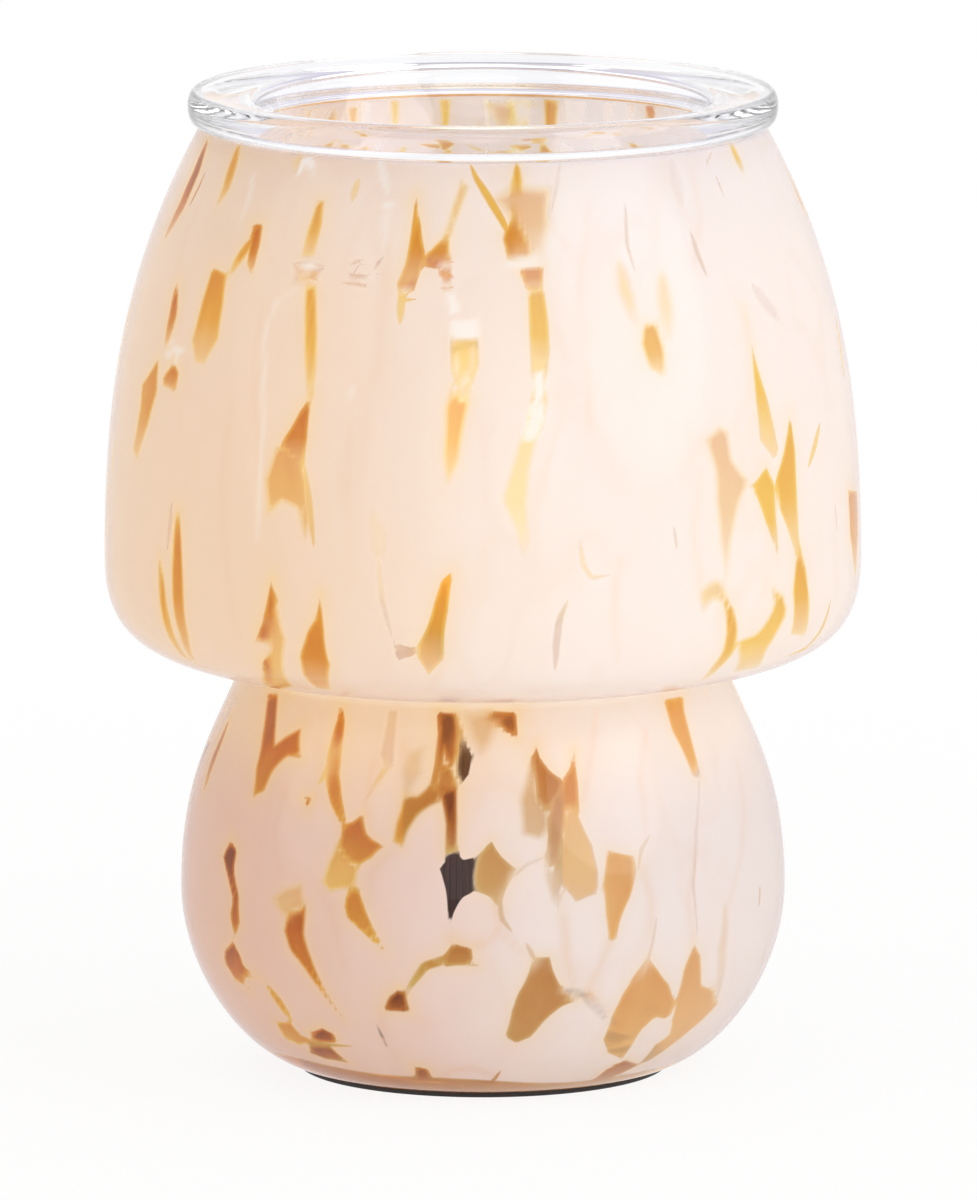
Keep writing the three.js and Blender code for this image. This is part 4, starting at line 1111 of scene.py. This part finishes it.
# Pale marks: whiter glass, and painted highlights, glints and reflections, laid as near-white chip
def paleAndHighlightMarks(shell, wall, layers):
    aside, beyond = pattern["paleAndHighlightSpan"]
    shapes = [(patchDistance, corners, pattern["paleAndHighlightBow"], cover) for corners, cover in paleAndHighlightPatches]
    shapes += [(streakDistance, *streak) for streak in paleAndHighlightStreaks]
    for measure, points, size, strength in shapes:
        chart, unrolled = wallChart(wall, onWall(shell, points))
        across, along = unrolled.T
        near = (along > chart[:, 1].min() - beyond) & (along < chart[:, 1].max() + beyond)
        spots = np.flatnonzero(near & (np.abs(across) < aside))
        distance = measure(unrolled[spots], chart, size)
        cover = strength * np.clip(0.5 - distance / pattern["paleAndHighlightSoft"], 0, 1)
        layers["whiteAndHighlight"][spots] = np.maximum(layers["whiteAndHighlight"][spots], cover)


def backGaps(wall, layers):
    for low, high, across, widths, tone, soft in backMouthGaps:
        levels = {0: low, 0.5: (high + low) / 2, 1: high}
        places = []
        for level, aside in pattern["backRing"]:
            along = outerAlong[-1] - levels[level]
            r = radiusAt(along)
            places.append((math.pi - (across + aside * widths) / r, along, r))
        blendGap(wall, layers, places, patchDistance, pattern["backBow"], tone, soft, 1)


def turnedPlaces(places, turn, shift, mirror, flip):  # a front gap's outline, laid elsewhere
    middleAngle, middleAlong = middleOf(places)
    onCap = middleAlong > pattern["capEnd"]
    ends = (pattern["capEnd"], outerAlong[-1]) if onCap else (0, pattern["capEnd"])
    margins = pattern["capMargin"] if onCap else pattern["bulbMargin"]
    low, high = ends[0] + margins[0], ends[1] - margins[1]
    laid = []
    for angle, along, r in places:
        aside = (angle - middleAngle) * r * mirror
        there = min(max(middleAlong + shift + (along - middleAlong) * flip, low), high)
        laid.append((turn + aside / radiusAt(there), there, radiusAt(there)))
    return laid


def sideGaps(wall, layers, shapes):  # round the sides and the back, gaps like those at the front
    p = pattern
    draw = random.Random(p["seed"])
    edge = math.radians(p["sideStart"])
    for turn, sector in p["sectors"]:
        for places, *look in shapes:
            middle, height = middleOf(places)
            mirror, flip = draw.choice((-1, 1)), draw.choice((-1, 1, 1))
            away = draw.uniform(-p["aside"], p["aside"])
            shift = draw.uniform(-p["shift"], p["shift"])
            there = math.radians(turn) - middle + away
            if abs(middle) > math.radians(sector) or not edge <= abs(there) <= fullTurn - edge:
                continue
            behindLamp = abs(there - math.pi) < p["clearTurn"]
            if behindLamp and abs(height + shift - p["clearAlong"]) < p["clearHigh"]:
                continue
            blendGap(wall, layers, turnedPlaces(places, there, shift, mirror, flip), *look)


def bareBand(wall, layers):  # no chips right above the foot
    p = pattern
    outer = np.flatnonzero(wall["along"] >= 0)
    angle = wall["angle"][outer]
    ripple, waves, start = p["footRipple"]
    swing, turns = p["footSway"]
    sway = ripple * np.sin(angle * waves + start) - swing * np.sin(angle * turns)
    distance = wall["along"][outer] - p["footBand"] - sway
    tone = p["footTone"][0] - p["footTone"][1] * np.sin(angle)
    openGap(layers, outer, distance, p["footSoft"], tone, p["footOpen"])


def paintPattern(shell):
    wall = readWall(shell)
    # Each layer's value where there is no gap; tone and openness are sums until the last lines
    layers = {name: np.full(len(wall["along"]), value) for name, value in {
        "gapLevel": pattern["farAway"] / pattern["sharpest"],
        "gapTone": 0.5e-6,
        "gapOpen": 1e-6,
        "gapHalo": 0.0,
        "gapDepth": 0.0,
        "chipSeam": 0.0,
        "whiteAndHighlight": 0.0,
        "lineOffset": 9.0,
        "lineHalf": -5.0,
        "weight": 1e-6,
    }.items()}
    shapes = frontGaps(shell, wall, layers)
    frontSeams(shell, wall, layers)
    paleAndHighlightMarks(shell, wall, layers)
    backGaps(wall, layers)
    sideGaps(wall, layers, shapes)
    bareBand(wall, layers)
    weight = layers.pop("weight")
    layers["gapTone"] /= weight
    layers["gapOpen"] /= weight
    for name, column in layers.items():
        attribute = shell.data.attributes.new(name, "FLOAT", "POINT")
        attribute.data.foreach_set("value", column.astype(np.float32))
    return wall


opal = {
    "chipRose": rgb(240, 209, 182),
    "bulbRose": rgb(240, 192, 172),
    "bulbHeights": (0.05, 0.072),  # metres, from where to where bulb becomes cap
    "chipPale": rgb(252, 245, 246),
    "paintedLightSides": (-0.048, 0.03),  # metres from the axis, where rose turns to pale: painted light, the right side paler as if lit more
    "clouds": (55.0, 3.0, 0.55),  # scale, detail, roughness
    "cloudSwing": (0.5, -0.25),
    "throughLight": rgb(255, 252, 253),
    "translucency": 0.42,
    "roughness": 0.12,
    "ior": 1.5,
    "chipSize": 62.0,  # lobes to a metre across, and fewer along the height
    "chipStretch": 0.5,
    "lobeSway": (120.0, 1.0),
    "lobeBend": 0.012,
    "seamTint": rgb(244, 216, 190),
    "whitestAndHighlight": rgb(255, 254, 252),
    "seamStrength": 0.15,
    "seamWidth": 0.12,
    "seamClouds": (0.42, 0.62),
    "toneStops": (0.0, 0.33, 0.56, 0.78, 1.0),  # clear, yellow, honey, orange, brown
    "capAmber": (rgb(238, 226, 226), rgb(252, 220, 116), rgb(234, 170, 66), rgb(210, 122, 46),
                 rgb(134, 64, 28)),
    "bulbAmber": (rgb(238, 226, 226), rgb(248, 206, 134), rgb(236, 174, 104),
                  rgb(210, 130, 58), rgb(134, 64, 28)),
    "amberHeights": (0.06, 0.068),  # metres, where one row of colours turns into the other,
    "amberShadedLeft": (-0.026, 0.012, 1.0, 0.0),  # and the left side has the cap's all the way down, painted shade: deeper amber where less light falls
    "streaks": (260.0, 3.0),
    "streakStretch": 0.22,
    "streakSwing": (0.3, 0.85),
    "neckWarm": rgb(255, 222, 164),  # the lamp's glow in the chips under the cap
    "neckStrength": 0.42,
    "neckStart": (0.043, 0.06),  # metres
    "neckEnd": (0.0654, 0.0667, 1.0, 0.0),
    "neckSides": (-0.015, 0.02, 1.0, 0.3),
    "neckGlow": 0.075,  # the lamp right behind, as emission
    "glowSides": (-0.044, -0.02, 0.1, 1.0),
    "paintedGapGlow": rgb(255, 172, 92),  # the same painted glow of the lamp, as emission in a gap
    "paintedGapGlowStrength": 1.5,
    "casingShade": rgb(202, 180, 192),  # the clear layer outside the chips, seen along its edge, with painted shade: a darker lavender grey towards the outline
    "casingShadeStrength": 0.55,
    "casingShadeFrom": 0.72,
    "haloTint": rgb(253, 222, 140),
    "haloStrength": 0.5,
    "edgeWidth": 0.8,  # mm
    "edgeLighter": 0.32,  # how much paler amber is at its edge
    "lineSoftness": 0.22,  # mm
    "haze": 0.72,
    "hazeTones": (0.12, 0.36),
    "mistThrough": 0.45,
    "gapSheen": (0.03, 1.36),  # roughness and index of refraction
    "innerSheen": (0.04, 1.12),
    "rimSheen": (0.05, 1.5),
    "rimMilk": 0.7,
}


def attributeValue(tree, name):
    return outputOf(tree, "ShaderNodeAttribute", output="Fac", attribute_name=name)


def chipTintAndPaintedLight(tree, place):  # the chips' colour, rose to pale lobe by lobe and paler towards the right side as painted light, with the lamp's glow painted in under the cap, and the neck's glow
    o = opal
    squeezed = stretched(tree, place, o["chipStretch"])
    clouds = noise(tree, squeezed, *o["clouds"])
    split = splitPlace(tree, place)
    cloudy = mathNode(tree, "MULTIPLY_ADD", clouds, *o["cloudSwing"])
    # Painted light: the chips grow paler towards the right side, as if lit more there
    side = mapRange(tree, split["X"], *o["paintedLightSides"])
    paleCloudsAndLight = mathNode(tree, "ADD", side, cloudy, clamp=True)
    low = mapRange(tree, split["Z"], *o["bulbHeights"])
    rose = mixColour(tree, low, o["bulbRose"], o["chipRose"])
    tintAndPaintedLight = mixColour(tree, paleCloudsAndLight, rose, o["chipPale"])
    # Painted light: the lamp's warm glow mixed into the chips' colour under the cap, stronger on
    # the left
    rising = mapRange(tree, split["Z"], *o["neckStart"], 0.0, o["neckStrength"])
    ending = mapRange(tree, split["Z"], *o["neckEnd"])
    under = mathNode(tree, "MULTIPLY", rising, ending)
    left = mapRange(tree, split["X"], *o["neckSides"])
    tintAndPaintedLight = mixColour(tree, mathNode(tree, "MULTIPLY", under, left), tintAndPaintedLight, o["neckWarm"])
    sway = noise(tree, squeezed, *o["lobeSway"], output="Color")
    bent = outputOf(tree, "ShaderNodeMix", {"Factor": o["lobeBend"], "A": squeezed, "B": sway},
                    "Result", data_type="VECTOR")
    lobes = outputOf(tree, "ShaderNodeTexVoronoi", {"Vector": bent, "Scale": o["chipSize"]},
                     "Distance", feature="DISTANCE_TO_EDGE")
    edge = mapRange(tree, lobes, 0.0, o["seamWidth"], o["seamStrength"], 0.0)
    shown = mapRange(tree, clouds, *o["seamClouds"])
    drawn = attributeValue(tree, "chipSeam")
    seam = mathNode(tree, "MULTIPLY_ADD", edge, shown, drawn, clamp=True)
    colour = mixColour(tree, seam, tintAndPaintedLight, o["seamTint"], "MULTIPLY")
    middle = mapRange(tree, split["X"], *o["glowSides"])
    reach = mathNode(tree, "MULTIPLY", under, o["neckGlow"] / o["neckStrength"])
    return colour, mathNode(tree, "MULTIPLY", reach, middle)


def amberTint(tree, place):
    o = opal
    streaky = noise(tree, stretched(tree, place, o["streakStretch"]), *o["streaks"])
    depth = mapRange(tree, attributeValue(tree, "gapDepth"), 0.0, o["edgeWidth"],
                     1 - o["edgeLighter"], 1.0)
    varied = mathNode(tree, "MULTIPLY_ADD", streaky, *o["streakSwing"])
    deeper = mathNode(tree, "MULTIPLY", depth, varied)
    tone = mathNode(tree, "MULTIPLY", attributeValue(tree, "gapTone"), deeper)
    capTint, bulbTint = (ramp(tree, tone, tuple(zip(o["toneStops"], o[colours])))
                         for colours in ("capAmber", "bulbAmber"))
    split = splitPlace(tree, place)
    upper = mapRange(tree, split["Z"], *o["amberHeights"])
    # Painted shade: the less lit left side takes the cap's deeper amber all the way down
    shadedLeft = mapRange(tree, split["X"], *o["amberShadedLeft"])
    return mixColour(tree, mathNode(tree, "MAXIMUM", upper, shadedLeft), bulbTint, capTint)


def chipShader(tree, tintAndPaintedLight, neckLight):
    o = opal
    halo = mathNode(tree, "MULTIPLY", attributeValue(tree, "gapHalo"), o["haloStrength"])
    colour = mixColour(tree, halo, tintAndPaintedLight, o["haloTint"])
    # Painted highlights and glints: the marked places turn near white
    colour = mixColour(tree, attributeValue(tree, "whiteAndHighlight"), colour, o["whitestAndHighlight"])
    solid, casingShaded = (outputOf(tree, "ShaderNodeBsdfPrincipled", {
        "Base Color": base, "Roughness": o["roughness"], "IOR": o["ior"]})
        for base in (colour, o["casingShade"]))
    lit = bsdf(tree, "Translucent", mixColour(tree, halo, o["throughLight"], o["haloTint"]))
    chip = mixShader(tree, o["translucency"], solid, lit)
    # Painted glow: the lamp's light under the cap, as emission in the chips
    chip = addShader(tree, chip, emission(tree, colour, neckLight))
    # Painted shade: towards the outline the chips turn to the casing's darker lavender grey
    facing = outputOf(tree, "ShaderNodeLayerWeight", {"Blend": 0.5}, "Facing")
    rim = mapRange(tree, facing, o["casingShadeFrom"], 1.0, 0.0, o["casingShadeStrength"])
    return mixShader(tree, rim, chip, casingShaded)


def gapShader(tree, tint, neckLight):
    o = opal
    mist = mixShader(tree, o["mistThrough"], bsdf(tree, "Diffuse", tint),
                     bsdf(tree, "Translucent", tint))
    haze = mapRange(tree, attributeValue(tree, "gapTone"), *o["hazeTones"], 0.0, o["haze"])
    pane = mixShader(tree, haze, bsdf(tree, "Transparent", tint), mist)
    # Painted glow: the lamp's light under the cap, as emission in the gaps
    strength = mathNode(tree, "MULTIPLY", neckLight, o["paintedGapGlowStrength"])
    return addShader(tree, glassSheen(tree, pane, *o["gapSheen"]),
                     emission(tree, o["paintedGapGlow"], strength))


def openness(tree):  # 1 in a gap or a thin line, 0 on a chip or a pale mark, painted highlights included
    offset = mathNode(tree, "ABSOLUTE", attributeValue(tree, "lineOffset"))
    past = mathNode(tree, "SUBTRACT", offset, attributeValue(tree, "lineHalf"))
    line = mathNode(tree, "DIVIDE", past, opal["lineSoftness"])
    level = mathNode(tree, "MINIMUM", attributeValue(tree, "gapLevel"), line)
    edge = mapRange(tree, level, -1.0, 1.0, 1.0, 0.0)
    opened = mathNode(tree, "MULTIPLY", edge, attributeValue(tree, "gapOpen"))
    unmarked = mathNode(tree, "SUBTRACT", 1.0, attributeValue(tree, "whiteAndHighlight"))
    return mathNode(tree, "MULTIPLY", opened, unmarked)


def opalMaterial():
    material, tree = newMaterial("opalGlass")
    place = objectPlace(tree)
    tintAndPaintedLight, neckLight = chipTintAndPaintedLight(tree, place)
    chip = chipShader(tree, tintAndPaintedLight, neckLight)
    gap = gapShader(tree, amberTint(tree, place), neckLight)
    finishMaterial(tree, mixShader(tree, openness(tree), chip, gap))
    return material


def clearWallMaterial():
    material, tree = newMaterial("clearInnerWall")
    tint = cloudyTint(tree, 60.0, rgb(255, 250, 244), rgb(255, 253, 250))
    finishMaterial(tree, glassSheen(tree, bsdf(tree, "Transparent", tint), *opal["innerSheen"]))
    return material


def amberRimMaterial():  # the fire-polished mouth, where the amber base shows
    material, tree = newMaterial("amberRim")
    tint = cloudyTint(tree, 90.0, rgb(236, 170, 88), rgb(250, 208, 134))
    under = mixShader(tree, opal["rimMilk"], bsdf(tree, "Transparent", tint),
                      bsdf(tree, "Diffuse", tint))
    finishMaterial(tree, glassSheen(tree, under, *opal["rimSheen"]))
    return material


def dressBody(shell, wall):
    for material in (opalMaterial(), clearWallMaterial(), amberRimMaterial()):
        shell.data.materials.append(material)
    faces = shell.data.polygons
    corners = np.empty(len(shell.data.loops), np.int32)
    shell.data.loops.foreach_get("vertex_index", corners)
    firsts = np.empty(len(faces), np.int32)
    faces.foreach_get("loop_start", firsts)
    lowest = np.minimum.reduceat(wall["along"][corners], firsts)
    height = np.minimum.reduceat(wall["height"][corners], firsts)
    inside = np.where(height > body["mouth"][1] - pattern["rimBand"], 2, 1)
    faces.foreach_set("material_index", np.where(lowest >= 0, 0, inside).astype(np.int32))
    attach(shell, "base")
    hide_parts("glass_body")


wall = paintPattern(glassBody)
dressBody(glassBody, wall)
print("pattern laid on the body")


# Dish: thick clear pressed glass, a ring flange and a bowl, loose on the mouth

dish = {
    "steps": 192,
    "seat": 155.0,
    "rim": 47.9,
    "rimHeight": 158.1,
    "rimRound": 2.0,
    "crest": (46.4, 160.7),  # where the flange is highest
    "lip": (38.4, 159.4),  # where its slope inwards ends
    "lipDrop": 1.6,
    "opening": 36.9,
    "under": 132.0,
    "footRings": (29.0, 26.4, 24.2),
    "ringHeight": 0.8,
    "ringPlaces": (-1.3, -0.5, 0.3),  # where a ring starts, is lowest and ends
    "ringMargin": 1.6,  # between the flat middle and the smallest ring
    "floorTop": 135.0,
    "floorRadius": 30.5,
    "heelOut": (3.4, 5.0),  # where wall meets floor, from the floor's edge outwards and up
    "heelIn": (0.6, 4.0),
    "heelRound": 3.6,
    "wall": 3,
    "wallAngle": 80,
    "fillet": 0.9,
    "tint": rgb(249, 249, 253),
    "otherTint": rgb(253, 254, 255),
}


def dishSweeps():
    d = dish
    neck = d["opening"] + d["wall"]
    seat, fillet, rim = d["seat"], d["fillet"], d["rim"]
    heelOut = (d["floorRadius"] + d["heelOut"][0], d["under"] + d["heelOut"][1])
    heelIn = (d["floorRadius"] + d["heelIn"][0], d["floorTop"] + d["heelIn"][1])
    flat = d["floorRadius"] - d["heelRound"]
    lip, crest = d["lip"], d["crest"]
    slope = math.degrees(math.atan2(crest[1] - lip[1], crest[0] - lip[0]))
    rise, fall = d["rimHeight"] - seat, crest[1] - d["rimHeight"]
    raised = d["under"] + d["ringHeight"]
    floor = [((d["footRings"][-1] - d["ringMargin"], raised), 2)]
    for radius in reversed(d["footRings"]):  # down and up over each moulded ring
        outer, low, inner = (radius + place for place in d["ringPlaces"])
        floor.append(((outer, raised), 1))
        floor.append(((low, d["under"]), 0, 0, (0.4, 0.4), 4))
        floor.append(((inner, raised), 0, 0, (0.4, 0.4), 4))
    return chain(
        (0, raised),
        *floor,
        (heelOut, 0, d["wallAngle"], (3.0, 2.4), 8),
        ((neck, seat - fillet), d["wallAngle"], 88, (5, 5), 6),
        ((neck + fillet, seat), 90, 0, (fillet * 0.55, fillet * 0.55), 5),
        ((rim - d["rimRound"], seat), 2),
        ((rim, d["rimHeight"]), 0, 90, (1.3, rise * 0.6), 8),
        (crest, 90, 180, (fall * 0.6, 0.9), 8),
        (lip, 180, 180 + slope, (2, 2), 6),
        ((d["opening"], lip[1] - d["lipDrop"]), 180 + slope, 270, (0.9, 0.9), 6),
        (heelIn, 268, 180 + d["wallAngle"], (6, 5), 8),
        ((flat, d["floorTop"]), 180 + d["wallAngle"], 180, (2.2, 2.2), 8),
        ((0, d["floorTop"]), 2),
    )


def pressedGlass():
    material, tree = newMaterial("pressedGlass")
    colour = cloudyTint(tree, 45.0, dish["tint"], dish["otherTint"])
    glass = outputOf(tree, "ShaderNodeBsdfPrincipled", {
        "Base Color": colour, "Roughness": 0.0, "IOR": 1.5, "Transmission Weight": 1.0})
    shadow = outputOf(tree, "ShaderNodeLightPath", output="Is Shadow Ray")
    finishMaterial(tree, mixShader(tree, shadow, glass, bsdf(tree, "Transparent", colour)))
    return material


def makeDish():
    made = turnOutline("waxDish", dishSweeps(), dish["steps"])
    made.data.materials.append(pressedGlass())
    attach(made, "dish")
    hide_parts("wax_dish")


makeDish()
print("dish turned")


# Lamp: a clear globe, its glow and its glass

lamp = {
    "steps": 96,
    "globe": 24.2,
    "globeHeight": 93.8,
    "blendAngle": 50,  # below the widest line, where the globe meets its neck's flare
    "neck": 6.6,
    "neckHeight": 58.65,
    "neckStraight": 5,
    "wall": 0.8,
    "glow": 0.082,  # watts
    "glowSize": 0.02,
    "glowRise": 4,  # above the globe's middle
    "warmth": 0.72,  # how far the lit filament floods its globe
    "warmHeights": (0.066, 0.082),
    "warmColour": rgb(255, 232, 150),
    "topColour": rgb(255, 246, 222),
    "topHeights": (0.1, 0.116),
    "brightness": 1.6,
    "glowColour": rgb(248, 235, 208),
    "sheen": (0.02, 1.45),
}


def makeGlobeMaterial():
    material, tree = newMaterial("lampGlass")
    tint = cloudyTint(tree, 120.0, rgb(255, 250, 240), rgb(255, 254, 250))
    height = splitPlace(tree, objectPlace(tree))["Z"]
    low = mapRange(tree, height, *lamp["warmHeights"])
    warmth = mathNode(tree, "MULTIPLY", low, lamp["warmth"])
    core = mapRange(tree, height, *lamp["topHeights"])
    flame = mixColour(tree, core, lamp["warmColour"], lamp["topColour"])
    glow = emission(tree, flame, lamp["brightness"])
    under = mixShader(tree, warmth, bsdf(tree, "Transparent", tint), glow)
    finishMaterial(tree, glassSheen(tree, under, *lamp["sheen"]))
    return material


def makeLampGlow():
    height = (lamp["globeHeight"] + lamp["glowRise"]) * mm
    bpy.ops.object.light_add(type="POINT", location=(0, 0, height))
    glow = bpy.context.object
    glow.name = "lampGlow"
    glow.data.energy = lamp["glow"]
    glow.data.color = lamp["glowColour"]
    glow.data.shadow_soft_size = lamp["glowSize"]


def globeSweeps():
    g = lamp
    lowAngle = math.radians(g["blendAngle"])
    joint = (g["globe"] * math.cos(lowAngle), g["globeHeight"] - g["globe"] * math.sin(lowAngle))
    lowReach = 4 / 3 * math.tan(lowAngle / 4) * g["globe"]
    highReach = 4 / 3 * math.tan(math.pi / 8) * g["globe"]
    heading = 90 - g["blendAngle"]
    return chain(
        (g["neck"], g["neckHeight"]),
        ((g["neck"], g["neckHeight"] + g["neckStraight"]), 2),
        (joint, 90, heading, (5, 5), 10),
        ((g["globe"], g["globeHeight"]), heading, 90, (lowReach, lowReach), 10),
        ((0, g["globeHeight"] + g["globe"]), 90, 180, (highReach, highReach), 20),
    )


def makeGlobe(material):  # a thin blown envelope with a wall, open at its neck
    outer = globeSweeps()
    inner = [inset(part, lamp["wall"], part["rows"]) for part in reversed(outer)]
    mouth = straight(inner[-1]["end"], outer[0]["start"], 1)
    made = turnOutline("lampGlobe", outer + inner + [mouth], lamp["steps"])
    made.data.materials.append(material)
    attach(made, "lamp")
    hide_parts("lamp_envelope")


globeMaterial = makeGlobeMaterial()
makeGlobe(globeMaterial)
makeLampGlow()
print("lamp globe blown and lit")


# Foot pad: a thin rubber disc with a rounded lower edge and a recess for the lock nut

pad = {
    "steps": 160,
    "radius": 30.3,
    "thickness": 1.0,
    "round": 0.55,
    "topRound": 0.1,
    "recess": (9.5, 0.6),
}


def makeFootPad(material):
    edge, top, corner = pad["radius"], pad["thickness"], pad["topRound"]
    recessRadius, recessDepth = pad["recess"]
    made = turnOutline("footPad", chain(
        (0, 0),
        ((edge - pad["round"], 0), 3),
        ((edge, pad["round"]), 0, 90, (0.3, 0.3), 5),
        ((edge, top - corner), 1),
        ((edge - corner, top), 90, 180, (0.05, 0.05), 2),
        ((recessRadius, top), 3),
        ((recessRadius, recessDepth), 1),
        ((0, recessDepth), 2),
    ), pad["steps"])
    smoothByAngle(made, 35)
    made.data.materials.append(material)
    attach(made, "base")
    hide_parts("foot_pad")


# Column: a black moulded sleeve round the lamp holder, with fine flutes down its side

column = {
    "sides": 144,
    "radius": 13,
    "wall": 1.8,
    "low": 11,
    "high": 60,
    "topRound": 0.5,
    "round": 0.3,  # of the other edges
    "plainTop": 3.2,
    "plainFoot": 9.4,
    "flute": (0.09, 0.28),
    "notch": (7, 7.96),  # width and height of the opening for the leads, at the rear of the foot
}


def isFlute(place):  # every other face of the side, between the plain bands
    c = column
    side = (math.atan2(place.y, place.x) + fullTurn) / (fullTurn / c["sides"])
    onSide = math.hypot(place.x, place.y) > c["radius"] - 0.3
    between = c["low"] + c["plainFoot"] < place.z < c["high"] - c["plainTop"]
    return onSide and between and int(side) % 2 == 0


def makeColumn(material):
    c = column
    radius, low, high, edge, top = c["radius"], c["low"], c["high"], c["round"], c["topRound"]
    inner = radius - c["wall"]
    made = turnOutline("socketColumn", chain(
        (radius, low + edge),
        ((radius, low + c["plainFoot"]), 1),
        ((radius, high - c["plainTop"]), 1),
        ((radius, high - top), 1),
        ((radius - top, high), 90, 180, (0.27, 0.27), 4),
        ((inner + edge, high), 1),
        ((inner, high - edge), 180, 270, (0.16, 0.16), 3),
        ((inner, low), 4),
        ((radius - edge, low), 1),
        ((radius, low + edge), 0, 90, (0.16, 0.16), 3),
    ), c["sides"])
    selectFaces(made, isFlute)
    thickness, depth = c["flute"]
    bpy.ops.mesh.inset(thickness=thickness * mm, depth=-depth * mm, use_individual=True)
    bpy.ops.object.mode_set(mode="OBJECT")
    width, height = c["notch"]
    bpy.ops.mesh.primitive_cube_add(size=1, location=(0, radius * mm, low * mm))
    block = bpy.context.object
    block.scale = (width * mm, radius * mm, 2 * height * mm)
    applyPlace(block)
    cutAway(made, block)
    smoothByAngle(made, 35)
    made.data.materials.append(material)
    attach(made, "base")
    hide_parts("socket_column")


# Cord outlet: a rubber bush with a flange on each side of the glass

def makeGrommet(material):
    o = outlet
    bore, shank, flange, low, high = (
        o[name] for name in ("bore", "shank", "flange", "inner", "outer"))
    made = turnOutline("cordGrommet", chain(
        (bore, low + 0.5),
        ((bore, high - 0.7), 3),
        ((bore + 0.7, high), 90, 0, (0.4, 0.4), 5),
        ((flange - 1.4, high - 0.15), 2),
        ((flange, high - 1.5), 0, 270, (0.9, 0.8), 7),
        ((flange, high - 2.7), 1),
        ((shank, high - 2.7), 1),
        ((shank, low + 2.3), 2),
        ((flange, low + 2.3), 1),
        ((flange, low + 0.9), 1),
        ((flange - 0.9, low), 270, 180, (0.5, 0.5), 5),
        ((bore + 0.5, low), 2),
        ((bore, low + 0.5), 180, 90, (0.3, 0.3), 4),
    ), o["steps"])
    made.rotation_euler = (-math.pi / 2, 0, 0)
    made.location = (0, 0, o["height"] * mm)
    applyPlace(made)
    smoothByAngle(made, 40)
    made.data.materials.append(material)
    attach(made, "base")
    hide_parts("cord_grommet")


# Finishes of the CAD nodes that stay in view or inside

finish = {
    "detail": 4.0,
    "stops": (0.35, 0.65),
    "roughSpread": (0.8, 1.25),
    "bump": (0.05, 0.0004),  # strength, and depth in metres
    "filament": 3.0,  # brightness
}


def plainMaterial(name, colour, other, scale, roughness, metallic=0.0):
    material, tree = newMaterial(name)
    grain = noise(tree, objectPlace(tree), scale, finish["detail"])
    shade = ramp(tree, grain, tuple(zip(finish["stops"], (colour, other))))
    smoother, rougher = finish["roughSpread"]
    rough = outputOf(tree, "ShaderNodeMapRange", {
        "Value": grain, "To Min": roughness * smoother, "To Max": roughness * rougher})
    strength, depth = finish["bump"]
    bump = outputOf(tree, "ShaderNodeBump", {
        "Height": grain, "Strength": strength, "Distance": depth})
    finishMaterial(tree, outputOf(tree, "ShaderNodeBsdfPrincipled", {
        "Base Color": shade, "Roughness": rough, "Metallic": metallic, "Normal": bump}))
    return material


def glowMaterial():
    material, tree = newMaterial("filamentGlow")
    colour = cloudyTint(tree, 700.0, rgb(255, 232, 178), rgb(255, 244, 214))
    finishMaterial(tree, emission(tree, colour, finish["filament"]))
    return material


finishes = {
    "black_rubber": plainMaterial("blackRubber", rgb(34, 29, 28), rgb(48, 42, 40), 400, 0.7),
    "zinc": plainMaterial("zincPlate", rgb(176, 178, 182), rgb(196, 198, 202), 300, 0.35, 1.0),
    "black_plastic": plainMaterial("blackPlastic", rgb(52, 26, 22), rgb(66, 34, 28), 500, 0.6),
    "porcelain": plainMaterial("porcelainWhite", rgb(232, 228, 220), rgb(240, 238, 232), 200, 0.25),
    "brass": plainMaterial("brassSheet", rgb(196, 152, 74), rgb(214, 172, 92), 300, 0.3, 1.0),
    "lead_sleeve": plainMaterial("leadSleeve", rgb(70, 44, 30), rgb(86, 56, 38), 400, 0.5),
    "nickel": plainMaterial("nickelPlate", rgb(186, 182, 174), rgb(204, 200, 192), 400, 0.25, 1.0),
    "filament_glow": glowMaterial(),
    "lamp_glass": globeMaterial,
}

nodeSlots = {
    "black_rubber": ("foot_pad", "base_gasket", "floor_gasket", "cord_grommet"),
    "zinc": ("lock_nut_lower", "base_plate", "lock_nut_upper", "threaded_pipe", "socket_cap"),
    "black_plastic": ("column_foot", "socket_column", "lamp_insulator"),
    "porcelain": ("socket_body",),
    "brass": ("screw_shell", "centre_contact", "terminal_screw_live", "terminal_screw_neutral"),
    "lead_sleeve": ("live_lead", "neutral_lead"),
    "lamp_glass": ("lamp_envelope", "lamp_stem"),
    "nickel": ("lamp_screw_cap", "lamp_tip_contact", "lead_in_wire_left", "lead_in_wire_right",
               "support_wires_upper", "support_wires_lower"),
    "filament_glow": ("filament",),
}

makeFootPad(finishes["black_rubber"])
makeColumn(finishes["black_plastic"])
makeGrommet(finishes["black_rubber"])
print("foot pad, column and cord bush made")

for slot, names in nodeSlots.items():
    for name in names:
        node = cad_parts[name]
        node.data.materials.clear()
        node.data.materials.append(finishes[slot])
print("finishes on the CAD nodes")
